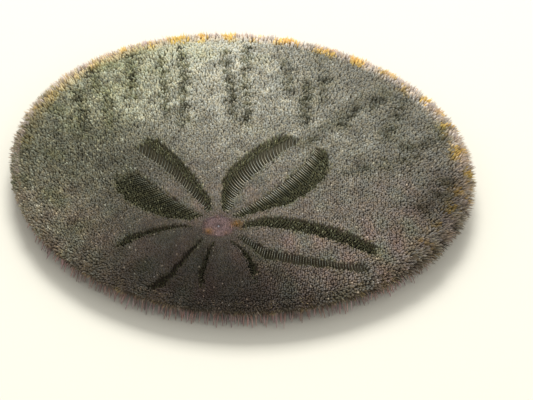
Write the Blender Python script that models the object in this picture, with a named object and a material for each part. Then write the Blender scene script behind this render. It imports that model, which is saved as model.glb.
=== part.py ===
"""Eccentric sand dollar, a still model at life size, lying flat on its underside.

The origin is the middle of the model on the surface it lies on: +Z is up, +Y is
the animal's front and +X its right side, seen from above. The body is modelled
whole and parted with thin cuts into the rim, the fields between the petals, the
five petals, the disc in their middle and the pieces of the underside. Spines and
the combs of tube feet are then fused into the piece that they grow from.
"""

import math
import random

import bmesh
import bpy
from mathutils import Vector

MM = 0.001

# Outline of the body, seen from above
HALF_WIDTH = 38.0 * MM
FRONT_LENGTH = 35.1 * MM
BACK_LENGTH = 38.1 * MM
WIDEST_Y = 1.5 * MM

# Heights above the surface that it lies on
AMBITUS_Z = 3.9 * MM
EDGE_RISE = 0.95 * MM
DOME_RISE = 3.3 * MM
DOME_POWER = 2.2
UNDER_DROP = 1.95 * MM
UNDER_HOLLOW = 0.35 * MM
EDGE_POWER = 16

# Solid core of the dense coat above, which reaches under half way to the spines' tips
COAT_CORE = 0.4 * MM

# The middle of the flower, well behind the middle of the body
APEX = Vector((8.0 * MM, -20.3 * MM))
DISC_RADIUS = 2.9 * MM

# Cuts between the pieces
GAP = 0.3 * MM
RIM_START = 0.945
RIM_PIECES = 10
SPLIT_Z = AMBITUS_Z

# Mouth and anus
MOUTH = Vector((0.0, 3.0 * MM))
MOUTH_RADIUS = 2.1 * MM
MOUTH_RECESS = 0.9 * MM
TEETH = 5
TOOTH_LENGTH = 0.95 * MM
TOOTH_HALF = 0.3 * MM
TOOTH_TIP = 0.1 * MM
TOOTH_LEAN = 0.45
TEETH_CIRCLE = 0.46
OPENING_SHARE = 0.72
ANUS_INSET = 4.6 * MM
ANUS_RADIUS = 0.9 * MM

# Grooves that lead food to the mouth
GROOVE_RADIUS = 0.42 * MM
GROOVE_SIDES = 5
GROOVE_DEPTH = 0.1 * MM
GROOVE_TAPER = 0.35
GROOVE_ANGLES = (90, 158, 236, 304, 22)
GROOVE_SPREAD = math.radians(17)
GROOVE_FORK_RUN = 0.45
GROOVE_FORK_CURVE = 0.7
GROOVE_RETURN = 0.25
GROOVE_END = RIM_START - 0.02
GROOVE_STEPS = 5
GROOVE_CLEAR = 0.15 * MM

# Spines
SEED = 14
SPINE_SIDES = 3
JITTER = 0.16
SWAY = 0.16
SPINES_END = 0.99
UPPER_SPACING = 3.4 * MM
UPPER_LENGTH = 0.55 * MM
UPPER_RADIUS = 0.36 * MM
UPPER_TIP = 0.2 * MM
UPPER_LEAN = 0.3
UPPER_VARIES = (0.85, 1.1)
LOWER_SPACING = 4.9 * MM
LOWER_RADIUS = 0.38 * MM
LOWER_TIP = 0.17 * MM
LOWER_LEAN = 0.35
RIM_ROW = 0.968
RIM_ROW_SWAY = 0.006
RIM_ROW_COUNT = 6
RIM_VARIES = (0.95, 1.15)
FRINGE_SPACING = 1.12 * MM
FRINGE_LENGTH = 2.5 * MM
FRINGE_COVERED = 0.5 * MM
FRINGE_VARIES = (0.92, 1.0)
FRINGE_ROOT = 0.985
FRINGE_SPREAD = 1.6 * MM
FRINGE_SWAY = 0.1
FRINGE_TILT_SWAY = 0.05
FRINGE_RADIUS = 0.36 * MM
FRINGE_TIP = 0.13 * MM
FRINGE_TILTS = (0.3, -0.1, 0.12, -0.26)
UPPER_ROOT = 0.6 * MM
LOWER_ROOT = 0.85 * MM
CLEAR = 0.62 * MM

# Combs of tube feet across the two bands of each petal
COMB_PITCH = 2.1 * MM
COMB_THICK = 1.5 * MM
COMB_RISE = 0.5 * MM
COMB_PROFILE = ((-0.5, -UPPER_ROOT, 1.0), (0.5, -UPPER_ROOT, 1.0), (0.0, COMB_RISE, 0.8))
COMB_LIMIT = 0.9
COMB_START = DISC_RADIUS + 1.9 * MM
COMB_END = 0.93
COMB_LEAST = 0.3 * MM
COMB_SLANT = 0.5
BAND_INSET = 0.32 * MM
LEAST_HALF = 0.1 * MM

# Troughs in the coat's core that hold the combs, open at the petal's edge
TROUGH_START = DISC_RADIUS + 1.1 * MM
TROUGH_STEPS = 7
TROUGH_MARGIN = 0.2 * MM
TROUGH_RIDGE = 0.3 * MM

# Outline of the petals
PETAL_SWELL = 1.42
PETAL_GROWTH = 0.62
PETAL_TIP = 0.88
ROOM_SHARE = 0.93
MOST_ROOM = 1.2
PETAL_STEPS = 12

# Finish
ROUGHNESS = 0.62
SHARP_ANGLE = math.radians(35)

# Cutters reach well past the body
ABOVE = 20 * MM
BELOW = -1 * MM
BEYOND = 1.1
FAR = 200 * MM

# Mesh of the body
HALVINGS = 40
SLOPE_STEP = 0.2 * MM
SMALL_TURN = 0.01
AROUND = 48
UPPER_RINGS = (0.2, 0.42, 0.64, 0.81, 0.92, 0.975)
LOWER_RINGS = (0.5, 0.8, 0.93, 0.98)
ARC_STEP = math.radians(6)


class Petal:
    """One petal: its axis as an angle at the apex and at the tip, and its size."""

    def __init__(self, name, base, tip, length, half_width, band=0.31, taper=0.42):
        self.name = name
        self.base = math.radians(base)
        self.tip = math.radians(tip)
        self.length = length * MM
        self.half_width = half_width * MM
        self.band_share = band
        self.taper = taper
        self.room = (math.pi, math.pi)

    def axis(self, radius):
        """Direction of the petal's middle line at a distance from the apex."""
        share = min(radius / self.length, 1.0)
        return self.base + (self.tip - self.base) * share

    def half(self, radius, side):
        """Half the petal's width at a distance from the apex, on one side."""
        share = radius / self.length
        if share >= 1.0:
            return 0.0
        fullness = PETAL_SWELL * share**PETAL_GROWTH * (1 - self.taper * share**3)
        width = fullness * self.half_width
        if share > PETAL_TIP:
            width *= math.sqrt(1 - ((share - PETAL_TIP) / (1 - PETAL_TIP)) ** 2)
        room = min(self.room[0 if side > 0 else 1], MOST_ROOM)
        return min(width, ROOM_SHARE * radius * math.tan(room) - GAP)

    def place(self, radius, across):
        """Point at a distance along the petal and a distance across it, left positive."""
        turn = self.axis(radius)
        along = Vector((math.cos(turn), math.sin(turn)))
        left = Vector((-along.y, along.x))
        return APEX + along * radius + left * across

    def coordinates(self, point):
        """Distance along the petal and across it, of a point seen from above."""
        offset = point - APEX
        radius = offset.length
        turn = self.axis(radius)
        along = Vector((math.cos(turn), math.sin(turn)))
        return offset.dot(along), along.x * offset.y - along.y * offset.x

    def outline(self, grow):
        """The petal's edge, counter-clockwise, moved outward by a distance."""
        start = DISC_RADIUS / 2
        right = []
        left = []
        for step in range(PETAL_STEPS + 1):
            share = math.sin(math.pi / 2 * step / PETAL_STEPS)
            radius = start + (self.length - start) * share
            along = radius + (grow if step == PETAL_STEPS else 0.0)
            right.append(self.place(along, -max(self.half(radius, -1) + grow, LEAST_HALF)))
            left.append(self.place(along, max(self.half(radius, 1) + grow, LEAST_HALF)))
        return right + left[::-1]

    def band(self, radius, side):
        """Middle and half width of the band of pores on one side."""
        half = self.half(radius, side)
        width = self.band_share * half
        return side * (half - width - BAND_INSET), width

    def on_band(self, point):
        """Whether a spine at a point would stand on one of the bands."""
        radius = (point - APEX).length
        across = self.coordinates(point)[1]
        middle, half = self.band(radius, 1 if across > 0 else -1)
        return abs(across) > abs(middle) - half - UPPER_RADIUS


PETALS = (
    Petal("petal_front", 89, 85, 29.5, 7.8),
    Petal("petal_left", 157, 162, 28.5, 7.0),
    Petal("petal_rear_left", 244, 238, 17.3, 5.9, 0.27),
    Petal("petal_rear_right", 303, 310, 13.6, 5.0, 0.27),
    Petal("petal_right", 19, 17, 27.0, 5.8, 0.23, 0.5),
)
FIELD_NAMES = ("front_left", "left", "rear", "right", "front_right")

COLORS = {
    "apical": (0.42, 0.29, 0.30),
    "petal": (0.19, 0.17, 0.15),
    "field": (0.33, 0.29, 0.27),
    "rim": (0.46, 0.38, 0.33),
    "under": (0.38, 0.30, 0.27),
    "mouth": (0.30, 0.20, 0.19),
    "anus": (0.26, 0.19, 0.18),
}


def give_room():
    """Tell each petal how far it may spread towards its neighbours at its root."""
    for index, petal in enumerate(PETALS):
        after = PETALS[(index + 1) % len(PETALS)].base - petal.base
        before = petal.base - PETALS[index - 1].base
        petal.room = (after % math.tau / 2, before % math.tau / 2)


def clear_scene():
    """Start from an empty scene."""
    for item in list(bpy.data.objects):
        bpy.data.objects.remove(item)


def edge_point(angle, grow=0.0, share=1.0):
    """Point of the outline seen from above, moved outward or scaled."""
    length = FRONT_LENGTH if math.sin(angle) >= 0 else BACK_LENGTH
    x = (HALF_WIDTH + grow) * share * math.cos(angle)
    y = (length + grow) * share * math.sin(angle)
    return Vector((x, WIDEST_Y + y))


def edge_share(point):
    """How far out a point lies, from 0 at the middle to 1 on the outline."""
    y = point.y - WIDEST_Y
    length = FRONT_LENGTH if y >= 0 else BACK_LENGTH
    return math.hypot(point.x / HALF_WIDTH, y / length)


def reach(centre, direction, share=1.0):
    """Distance from a centre, in a direction, to the outline or to a share of it."""
    low = 0.0
    high = FAR
    for _ in range(HALVINGS):
        middle = (low + high) / 2
        if edge_share(centre + direction * middle) < share:
            low = middle
        else:
            high = middle
    return low


def edge_round(point):
    """Rounding of the rim: 1 inside and 0 on the outline."""
    return math.sqrt(max(0.0, 1 - edge_share(point) ** EDGE_POWER))


def skin_z(point):
    """Height of the skin on the upper side."""
    offset = point - APEX
    share = 0.0
    if offset.length > 0:
        share = min(offset.length / reach(APEX, offset.normalized()), 1.0)
    return AMBITUS_Z + EDGE_RISE * edge_round(point) + DOME_RISE * (1 - share**DOME_POWER)


def top_z(point):
    """Height of the coat's core on the upper side."""
    return skin_z(point) + COAT_CORE * edge_round(point)


def under_z(point):
    """Height of the underside, a little hollow towards the mouth."""
    hollow = UNDER_HOLLOW * max(0.0, 1 - edge_share(point) ** 2)
    return AMBITUS_Z - UNDER_DROP * edge_round(point) + hollow


def surface_normal(height, point, sign):
    """Outward normal of a side, from the slope of its height function."""
    aside = Vector((SLOPE_STEP, 0))
    ahead = Vector((0, SLOPE_STEP))
    rise_x = height(point + aside) - height(point - aside)
    rise_y = height(point + ahead) - height(point - ahead)
    normal = Vector((-rise_x, -rise_y, 2 * SLOPE_STEP))
    return normal.normalized() * sign


def new_object(name, mesh):
    """Link a mesh to the scene as an object."""
    item = bpy.data.objects.new(name, mesh)
    bpy.context.scene.collection.objects.link(item)
    return item


def mesh_from(name, points, faces):
    """Closed mesh from points and faces, with its faces turned outward."""
    mesh = bpy.data.meshes.new(name)
    mesh.from_pydata([tuple(point) for point in points], [], faces)
    work = bmesh.new()
    work.from_mesh(mesh)
    bmesh.ops.recalc_face_normals(work, faces=work.faces)
    work.to_mesh(mesh)
    work.free()
    return mesh


def body_mesh():
    """The whole body: rings about the apex on the upper side and the underside."""
    points = []
    faces = []
    rim = [edge_point(math.tau * step / AROUND) for step in range(AROUND)]

    def ring(share, height):
        first = len(points)
        for edge in rim:
            point = APEX + (edge - APEX) * share
            points.append((point.x, point.y, height(point)))
        return first

    def bridge(inner, outer):
        for step in range(AROUND):
            after = (step + 1) % AROUND
            faces.append((inner + step, inner + after, outer + after, outer + step))

    outline = ring(1.0, lambda point: AMBITUS_Z)
    for height, shares in ((top_z, UPPER_RINGS), (under_z, LOWER_RINGS)):
        points.append((APEX.x, APEX.y, height(APEX)))
        middle = len(points) - 1
        inner = ring(shares[0], height)
        for step in range(AROUND):
            faces.append((middle, inner + step, inner + (step + 1) % AROUND))
        for share in shares[1:]:
            outer = ring(share, height)
            bridge(inner, outer)
            inner = outer
        bridge(inner, outline)
    return mesh_from("body", points, faces)


def prism(name, outline, low, high):
    """Upright prism over an outline."""
    count = len(outline)
    points = [(point.x, point.y, low) for point in outline]
    points += [(point.x, point.y, high) for point in outline]
    faces = [tuple(range(count))[::-1], tuple(range(count, 2 * count))]
    for step in range(count):
        after = (step + 1) % count
        faces.append((step, after, count + after, count + step))
    return new_object(name, mesh_from(name, points, faces))


def circle(centre, radius, count=20):
    """Points of a circle, counter-clockwise."""
    turns = [math.tau * step / count for step in range(count)]
    return [centre + Vector((math.cos(turn), math.sin(turn))) * radius for turn in turns]


def apply_boolean(item, operation, cutter=None, collection=None):
    """Run one Boolean on an object, keep its result and remove the cutters."""
    modifier = item.modifiers.new(operation.lower(), "BOOLEAN")
    modifier.operation = operation
    modifier.solver = "EXACT"
    if collection is None:
        modifier.operand_type = "OBJECT"
        modifier.object = cutter
        used = [cutter]
    else:
        modifier.operand_type = "COLLECTION"
        modifier.collection = collection
        used = list(collection.objects)
    graph = bpy.context.evaluated_depsgraph_get()
    mesh = bpy.data.meshes.new_from_object(item.evaluated_get(graph))
    item.modifiers.clear()
    item.data = mesh
    for tool in used:
        bpy.data.objects.remove(tool)
    if collection is not None:
        bpy.data.collections.remove(collection)


def keep_largest(item):
    """Keep the largest closed surface of an object."""
    work = bmesh.new()
    work.from_mesh(item.data)
    left = set(work.verts)
    shells = []
    while left:
        seed = left.pop()
        shell = {seed}
        front = [seed]
        while front:
            for edge in front.pop().link_edges:
                for vertex in edge.verts:
                    if vertex in left:
                        left.remove(vertex)
                        shell.add(vertex)
                        front.append(vertex)
        shells.append(shell)
    shells.sort(key=shell_size)
    for shell in shells[:-1]:
        bmesh.ops.delete(work, geom=list(shell), context="VERTS")
    work.to_mesh(item.data)
    work.free()


def shell_size(shell):
    """Diagonal of a shell's box."""
    lows = [min(vertex.co[axis] for vertex in shell) for axis in range(3)]
    highs = [max(vertex.co[axis] for vertex in shell) for axis in range(3)]
    return (Vector(highs) - Vector(lows)).length


def dress(item, kind):
    """Give a node its material and smooth shading."""
    material = bpy.data.materials.new(item.name)
    material.use_nodes = True
    shader = material.node_tree.nodes["Principled BSDF"]
    shader.inputs["Base Color"].default_value = (*COLORS[kind], 1.0)
    shader.inputs["Roughness"].default_value = ROUGHNESS
    shader.inputs["Metallic"].default_value = 0.0
    item.data.materials.clear()
    item.data.materials.append(material)
    item.data.shade_smooth()
    item.data.set_sharp_from_angle(angle=SHARP_ANGLE)


def inner_outline():
    """Outline of all that the rim surrounds, seen from above."""
    share = RIM_START - GAP / HALF_WIDTH
    return [edge_point(angle, share=share) for angle in between(0, math.tau - ARC_STEP)]


def piece(name, body, outline, low, high, holes=()):
    """Part of the body over an outline and between two heights, less some holes."""
    item = new_object(name, body.copy())
    apply_boolean(item, "INTERSECT", prism("keep", outline, low, high))
    for hole_outline in holes:
        apply_boolean(item, "DIFFERENCE", prism("hole", hole_outline, BELOW, ABOVE))
    keep_largest(item)
    return item


def between(start, end):
    """Angles from start to end, counter-clockwise, in even steps."""
    span = (end - start) % math.tau
    count = max(2, math.ceil(span / ARC_STEP))
    return [start + span * step / count for step in range(count + 1)]


def wedge(centre, start, end, share):
    """Outline of a sector about a centre out to a share of the body's outline."""
    half_gap = GAP / 2
    middle = start + (end - start) % math.tau / 2
    opening = (end - start) % math.tau / 2
    tip = centre + Vector((math.cos(middle), math.sin(middle))) * (half_gap / math.sin(opening))
    points = [tip]
    for turn in between(start, end):
        direction = Vector((math.cos(turn), math.sin(turn)))
        points.append(centre + direction * reach(centre, direction, share))
    points[1] += Vector((-math.sin(start), math.cos(start))) * half_gap
    points[-1] += Vector((math.sin(end), -math.cos(end))) * half_gap
    return points


def spine(name, root, direction, length, radius, tip_radius, turn, depth, on_floor=False):
    """Tapering spine with its root below the surface and a small flat tip."""
    direction = direction.normalized()
    frame = direction.to_track_quat("Z", "Y").to_matrix()
    start = root - direction * depth
    end = root + direction * length
    points = []
    for centre, size in ((start, radius), (end, tip_radius)):
        for step in range(SPINE_SIDES):
            angle = turn + math.tau * step / SPINE_SIDES
            offset = frame @ Vector((math.cos(angle), math.sin(angle), 0)) * size
            points.append(centre + offset)
    if on_floor:
        for index in range(SPINE_SIDES, 2 * SPINE_SIDES):
            points[index].z = 0.0
    faces = [tuple(range(SPINE_SIDES)), tuple(range(SPINE_SIDES, 2 * SPINE_SIDES))]
    for step in range(SPINE_SIDES):
        after = (step + 1) % SPINE_SIDES
        faces.append((step, after, SPINE_SIDES + after, SPINE_SIDES + step))
    return new_object(name, mesh_from(name, points, faces))


def fuse(item, tools):
    """Join closed pieces into a node with one Boolean union."""
    if not tools:
        return
    collection = bpy.data.collections.new("grown")
    bpy.context.scene.collection.children.link(collection)
    for tool in tools:
        collection.objects.link(tool)
        bpy.context.scene.collection.objects.unlink(tool)
    apply_boolean(item, "UNION", collection=collection)
    keep_largest(item)


def any_way(draw):
    """Level vector of random direction and size."""
    return Vector((draw.uniform(-1, 1), draw.uniform(-1, 1), 0))


def scattered(spacing, draw):
    """Points over the body seen from above, on a jittered triangular grid."""
    reach_out = HALF_WIDTH + BACK_LENGTH
    rows = math.ceil(reach_out / (spacing * math.sqrt(0.75)))
    for row in range(-rows, rows + 1):
        for column in range(-rows, rows + 1):
            x = (column + 0.5 * (row % 2)) * spacing
            y = row * spacing * math.sqrt(0.75)
            point = Vector((x, y)) + any_way(draw).xy * spacing * JITTER
            if edge_share(point) < SPINES_END:
                yield point


def in_petal(petal, point):
    """Whether a point lies over a petal."""
    along, across = petal.coordinates(point)
    radius = (point - APEX).length
    if along <= 0 or radius >= petal.length:
        return False
    return abs(across) < petal.half(radius, 1 if across > 0 else -1)


def sector_of(point, centre, angles):
    """Index of the sector about a centre that holds a point."""
    offset = point - centre
    turn = math.atan2(offset.y, offset.x)
    for index, start in enumerate(angles):
        end = angles[(index + 1) % len(angles)]
        if (turn - start) % math.tau < (end - start) % math.tau:
            return index
    return 0


def upper_node(point):
    """Name of the node that carries a point of the upper side."""
    if edge_share(point) > RIM_START:
        return rim_name(rim_index(point))
    if (point - APEX).length < DISC_RADIUS:
        return "apical_disc"
    for petal in PETALS:
        if in_petal(petal, point):
            return petal.name
    return "field_" + FIELD_NAMES[sector_of(point, APEX, petal_ends())]


def lower_node(point):
    """Name of the node that carries a point of the underside."""
    if edge_share(point) > RIM_START:
        return rim_name(rim_index(point))
    if (point - MOUTH).length < MOUTH_RADIUS:
        return "mouth"
    if (point - anus_centre()).length < ANUS_RADIUS:
        return "anus"
    return "under_" + FIELD_NAMES[sector_of(point, MOUTH, groove_angles())]


def is_clear(point, find_node):
    """Whether a spine's root at a point stays well inside one node."""
    name = find_node(point)
    return all(find_node(near) == name for near in circle(point, CLEAR, 8))


def petal_ends():
    """Directions of the petals' tips from the apex."""
    return [petal.tip for petal in PETALS]


def groove_angles():
    """Directions of the five food grooves from the mouth, in the petals' order."""
    return [math.radians(angle) for angle in GROOVE_ANGLES]


def anus_centre():
    """Middle of the anus, just inside the rear edge of the underside."""
    return Vector((0.0, WIDEST_Y - BACK_LENGTH + ANUS_INSET))


def rim_name(index):
    """Name of a piece of the rim."""
    return f"rim_{index + 1:02d}"


def rim_angles():
    """Angles about the outline's middle at which the rim is cut."""
    return [math.tau * (index + 0.5) / RIM_PIECES for index in range(RIM_PIECES)]


def rim_index(point):
    """Which piece of the rim a point lies in."""
    x = point.x / HALF_WIDTH
    length = FRONT_LENGTH if point.y >= WIDEST_Y else BACK_LENGTH
    turn = math.atan2((point.y - WIDEST_Y) / length, x)
    return int((turn / math.tau * RIM_PIECES - 0.5) % RIM_PIECES)


def rim_outline(index):
    """Outline of one piece of the rim, seen from above."""
    start = rim_angles()[index]
    end = start + math.tau / RIM_PIECES
    inner_gap = GAP / 2 / (HALF_WIDTH * RIM_START)
    inner = between(start + inner_gap, end - inner_gap)
    outer_gap = GAP / 2 / (HALF_WIDTH * BEYOND)
    outer = between(start + outer_gap, end - outer_gap)
    points = [edge_point(angle, share=RIM_START) for angle in inner[::-1]]
    return points + [edge_point(angle, share=BEYOND) for angle in outer]


def groove_route(index, side):
    """Route of one branch of a food groove over the underside."""
    start = groove_angles()[index]
    points = []
    for step in range(GROOVE_STEPS + 1):
        share = step / GROOVE_STEPS
        spread = GROOVE_SPREAD * side * min(1.0, share / GROOVE_FORK_RUN) ** GROOVE_FORK_CURVE
        turn = start + spread * (1 - GROOVE_RETURN * share)
        direction = Vector((math.cos(turn), math.sin(turn)))
        far = reach(MOUTH, direction, GROOVE_END)
        points.append(MOUTH + direction * (MOUTH_RADIUS + (far - MOUTH_RADIUS) * share))
    return points


def tube(name, route, radius):
    """Closed tube of few sides along a route on the underside."""
    points = []
    faces = []
    count = len(route)
    for index, centre in enumerate(route):
        before = route[max(index - 1, 0)]
        after = route[min(index + 1, count - 1)]
        along = (after - before).normalized()
        left = Vector((-along.y, along.x))
        size = radius * (1 - GROOVE_TAPER * index / count)
        for side in range(GROOVE_SIDES):
            angle = math.tau * (side + 0.5) / GROOVE_SIDES
            across = left * math.cos(angle) * size
            z = under_z(centre) - GROOVE_DEPTH + math.sin(angle) * size
            points.append((centre.x + across.x, centre.y + across.y, z))
    for index in range(count - 1):
        first = index * GROOVE_SIDES
        for side in range(GROOVE_SIDES):
            after = (side + 1) % GROOVE_SIDES
            low = first + GROOVE_SIDES
            faces.append((first + side, first + after, low + after, low + side))
    faces.append(tuple(range(GROOVE_SIDES)))
    last = (count - 1) * GROOVE_SIDES
    faces.append(tuple(range(last, last + GROOVE_SIDES)))
    return new_object(name, mesh_from(name, points, faces))


def near_groove(point, distance):
    """Whether a point of the underside lies near a food groove."""
    for index in range(len(PETALS)):
        for side in (-1, 1):
            route = groove_route(index, side)
            for first, second in zip(route, route[1:]):
                run = second - first
                share = max(0.0, min(1.0, (point - first).dot(run) / run.length_squared))
                if (point - first - run * share).length < distance:
                    return True
    return False


def trough(petal, side):
    """Cutter for the trough of one band, down to the skin and out past the petal's edge."""
    points = []
    faces = [(0, 1, 3, 2)]
    run = petal.length * COMB_END - TROUGH_START
    for step in range(TROUGH_STEPS + 1):
        radius = TROUGH_START + run * step / TROUGH_STEPS
        middle, half = petal.band(radius, side)
        inner = max(abs(middle) - half - TROUGH_MARGIN, TROUGH_RIDGE)
        outer = abs(middle) + half + BAND_INSET + GAP
        for across in (inner, outer):
            place = petal.place(radius, side * across)
            points.append((place.x, place.y, skin_z(place)))
            points.append((place.x, place.y, ABOVE))
    for first in range(0, 4 * TROUGH_STEPS, 4):
        after = first + 4
        for one, two in ((0, 1), (1, 3), (3, 2)):
            faces.append((first + one, first + two, after + two, after + one))
        faces.append((first, first + 2, after + 2))
        faces.append((first, after + 2, after))
    last = 4 * TROUGH_STEPS
    faces.append((last, last + 1, last + 3, last + 2))
    return new_object("trough", mesh_from("trough", points, faces))


def comb(petal, radius, side):
    """One raised comb of tube feet across a band of a petal, a ridge of three sides."""
    points = []
    for end in (-side, side):
        if end == side:
            radius += COMB_SLANT * petal.band(radius, side)[1]
        for along, level, share in COMB_PROFILE:
            reached = min(radius + along * COMB_THICK, petal.length * COMB_END)
            middle, half = petal.band(reached, side)
            place = petal.place(reached, middle + end * half * share)
            points.append(Vector((place.x, place.y, skin_z(place) + level)))
    faces = [(0, 1, 2), (3, 4, 5), (0, 1, 4, 3), (1, 2, 5, 4), (2, 0, 3, 5)]
    return new_object("comb", mesh_from("comb", points, faces))


def grow_combs(nodes):
    """Combs of tube feet on both bands of every petal."""
    for petal in PETALS:
        tools = []
        for side in (-1, 1):
            radius = COMB_START
            while radius < petal.length * COMB_END:
                middle, half = petal.band(radius, side)
                inside = edge_share(petal.place(radius, middle + side * half)) < COMB_LIMIT
                if inside and half > COMB_LEAST:
                    tools.append(comb(petal, radius, side))
                radius += COMB_PITCH
        fuse(nodes[petal.name], tools)


def upper_spines(draw):
    """Short spines of the upper side, gathered by the node that carries them."""
    found = {}
    for point in scattered(UPPER_SPACING, draw):
        name = upper_node(point)
        if name == "apical_disc" or name.startswith("rim_") or not is_clear(point, upper_node):
            continue
        if any(petal.name == name and petal.on_band(point) for petal in PETALS):
            continue
        normal = surface_normal(top_z, point, 1)
        outward = (point - APEX).normalized()
        lean = Vector((outward.x, outward.y, 0)) * UPPER_LEAN
        direction = normal + lean + any_way(draw) * SWAY
        root = Vector((point.x, point.y, top_z(point)))
        length = UPPER_LENGTH * draw.uniform(*UPPER_VARIES)
        tool = spine("spine", root, direction, length, UPPER_RADIUS, UPPER_TIP,
                     draw.uniform(0, math.tau), UPPER_ROOT)
        found.setdefault(name, []).append(tool)
    return found


def rim_spines(draw):
    """One row of short spines along the upper side of the rim."""
    found = {}
    count = RIM_PIECES * RIM_ROW_COUNT
    for step in range(count):
        angle = math.tau * (step + 0.5) / count
        point = edge_point(angle, share=RIM_ROW + draw.uniform(-RIM_ROW_SWAY, RIM_ROW_SWAY))
        outward = (point - Vector((0, WIDEST_Y))).normalized()
        lean = Vector((outward.x, outward.y, 0)) * UPPER_LEAN
        direction = surface_normal(top_z, point, 1) + lean + any_way(draw) * SWAY
        root = Vector((point.x, point.y, top_z(point)))
        length = UPPER_LENGTH * draw.uniform(*RIM_VARIES)
        tool = spine("spine", root, direction, length, UPPER_RADIUS, UPPER_TIP,
                     draw.uniform(0, math.tau), UPPER_ROOT)
        found.setdefault(rim_name(rim_index(point)), []).append(tool)
    return found


def lower_spines(draw):
    """Spines of the underside, whose flat tips all stand at one level."""
    found = {}
    for point in scattered(LOWER_SPACING, draw):
        name = lower_node(point)
        if not name.startswith("under_") or not is_clear(point, lower_node):
            continue
        if near_groove(point, GROOVE_RADIUS + LOWER_RADIUS + GROOVE_CLEAR):
            continue
        outward = (point - MOUTH).normalized()
        lean = Vector((outward.x, outward.y, 0)) * LOWER_LEAN
        direction = (Vector((0, 0, -1)) + lean + any_way(draw) * SWAY).normalized()
        root = Vector((point.x, point.y, under_z(point)))
        length = root.z / -direction.z
        tool = spine("spine", root, direction, length, LOWER_RADIUS, LOWER_TIP,
                     draw.uniform(0, math.tau), LOWER_ROOT, on_floor=True)
        found.setdefault(name, []).append(tool)
    return found


def fringe_spines(draw):
    """Slender spines that stand out all round the rim."""
    found = {}
    around = math.pi * (2 * HALF_WIDTH + FRONT_LENGTH + BACK_LENGTH) / 2
    count = int(around / FRINGE_SPACING / RIM_PIECES) * RIM_PIECES
    for step in range(count):
        angle = math.tau * (step + 0.5) / count
        point = edge_point(angle, share=FRINGE_ROOT)
        tangent = (edge_point(angle + SMALL_TURN) - edge_point(angle)).normalized()
        tilt = FRINGE_TILTS[step % len(FRINGE_TILTS)]
        tilt += draw.uniform(-FRINGE_TILT_SWAY, FRINGE_TILT_SWAY)
        sway = draw.uniform(-FRINGE_SWAY, FRINGE_SWAY)
        outward = Vector((tangent.y, -tangent.x, 0))
        direction = outward + Vector((tangent.x, tangent.y, 0)) * sway
        direction = direction.normalized() * math.cos(tilt) + Vector((0, 0, math.sin(tilt)))
        root = Vector((point.x, point.y, AMBITUS_Z + tilt * FRINGE_SPREAD))
        length = FRINGE_LENGTH * draw.uniform(*FRINGE_VARIES) + FRINGE_COVERED
        tool = spine("spine", root, direction, length, FRINGE_RADIUS, FRINGE_TIP,
                     draw.uniform(0, math.tau), LOWER_ROOT)
        found.setdefault(rim_name(rim_index(point)), []).append(tool)
    return found


def make_mouth(body):
    """Mouth: a sunken disc with the tips of five teeth."""
    outline = circle(MOUTH, MOUTH_RADIUS - GAP / 2)
    item = piece("mouth", body, outline, 0, SPLIT_Z - GAP / 2)
    lip = under_z(MOUTH)
    opening = circle(MOUTH, MOUTH_RADIUS * OPENING_SHARE)
    recess = prism("hole", opening, BELOW, lip + MOUTH_RECESS)
    apply_boolean(item, "DIFFERENCE", recess)
    tools = []
    for index in range(TEETH):
        turn = math.tau * index / TEETH + math.pi / 2
        outward = Vector((math.cos(turn), math.sin(turn), 0))
        centre = Vector((MOUTH.x, MOUTH.y, lip + MOUTH_RECESS))
        root = centre + outward * MOUTH_RADIUS * TEETH_CIRCLE
        direction = Vector((0, 0, -1)) - outward * TOOTH_LEAN
        tools.append(spine("tooth", root, direction, TOOTH_LENGTH, TOOTH_HALF, TOOTH_TIP, turn,
                           UPPER_ROOT))
    fuse(item, tools)
    return item


def make_nodes():
    """Cut the whole body into its nodes."""
    body = body_mesh()
    upper = SPLIT_Z + GAP / 2
    lower = SPLIT_Z - GAP / 2
    inner_share = RIM_START - GAP / HALF_WIDTH
    nodes = {}
    disc = circle(APEX, DISC_RADIUS - GAP)
    nodes["apical_disc"] = piece("apical_disc", body, disc, upper, ABOVE)
    room_for_disc = circle(APEX, DISC_RADIUS)
    for petal in PETALS:
        outline = petal.outline(-GAP / 2)
        item = piece(petal.name, body, outline, upper, ABOVE, [room_for_disc])
        apply_boolean(item, "INTERSECT", prism("keep", inner_outline(), 0, ABOVE))
        for side in (-1, 1):
            apply_boolean(item, "DIFFERENCE", trough(petal, side))
        keep_largest(item)
        nodes[petal.name] = item
    ends = petal_ends()
    for index, field in enumerate(FIELD_NAMES):
        after = (index + 1) % len(PETALS)
        outline = wedge(APEX, ends[index], ends[after], inner_share)
        holes = [room_for_disc]
        holes += [PETALS[near].outline(GAP / 2) for near in (index, after)]
        name = "field_" + field
        nodes[name] = piece(name, body, outline, upper, ABOVE, holes)
    angles = groove_angles()
    for index, field in enumerate(FIELD_NAMES):
        after = (index + 1) % len(angles)
        outline = wedge(MOUTH, angles[index], angles[after], inner_share)
        holes = [circle(MOUTH, MOUTH_RADIUS + GAP / 2)]
        if field == "rear":
            holes.append(circle(anus_centre(), ANUS_RADIUS + GAP / 2, 16))
        name = "under_" + field
        nodes[name] = piece(name, body, outline, 0, lower, holes)
        for near, side in ((index, 1), (after, -1)):
            groove = tube("groove", groove_route(near, side), GROOVE_RADIUS)
            apply_boolean(nodes[name], "DIFFERENCE", groove)
        keep_largest(nodes[name])
    nodes["mouth"] = make_mouth(body)
    anus = circle(anus_centre(), ANUS_RADIUS - GAP / 2, 16)
    nodes["anus"] = piece("anus", body, anus, 0, lower)
    for index in range(RIM_PIECES):
        name = rim_name(index)
        nodes[name] = piece(name, body, rim_outline(index), 0, ABOVE)
    bpy.data.meshes.remove(body)
    return nodes


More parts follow.
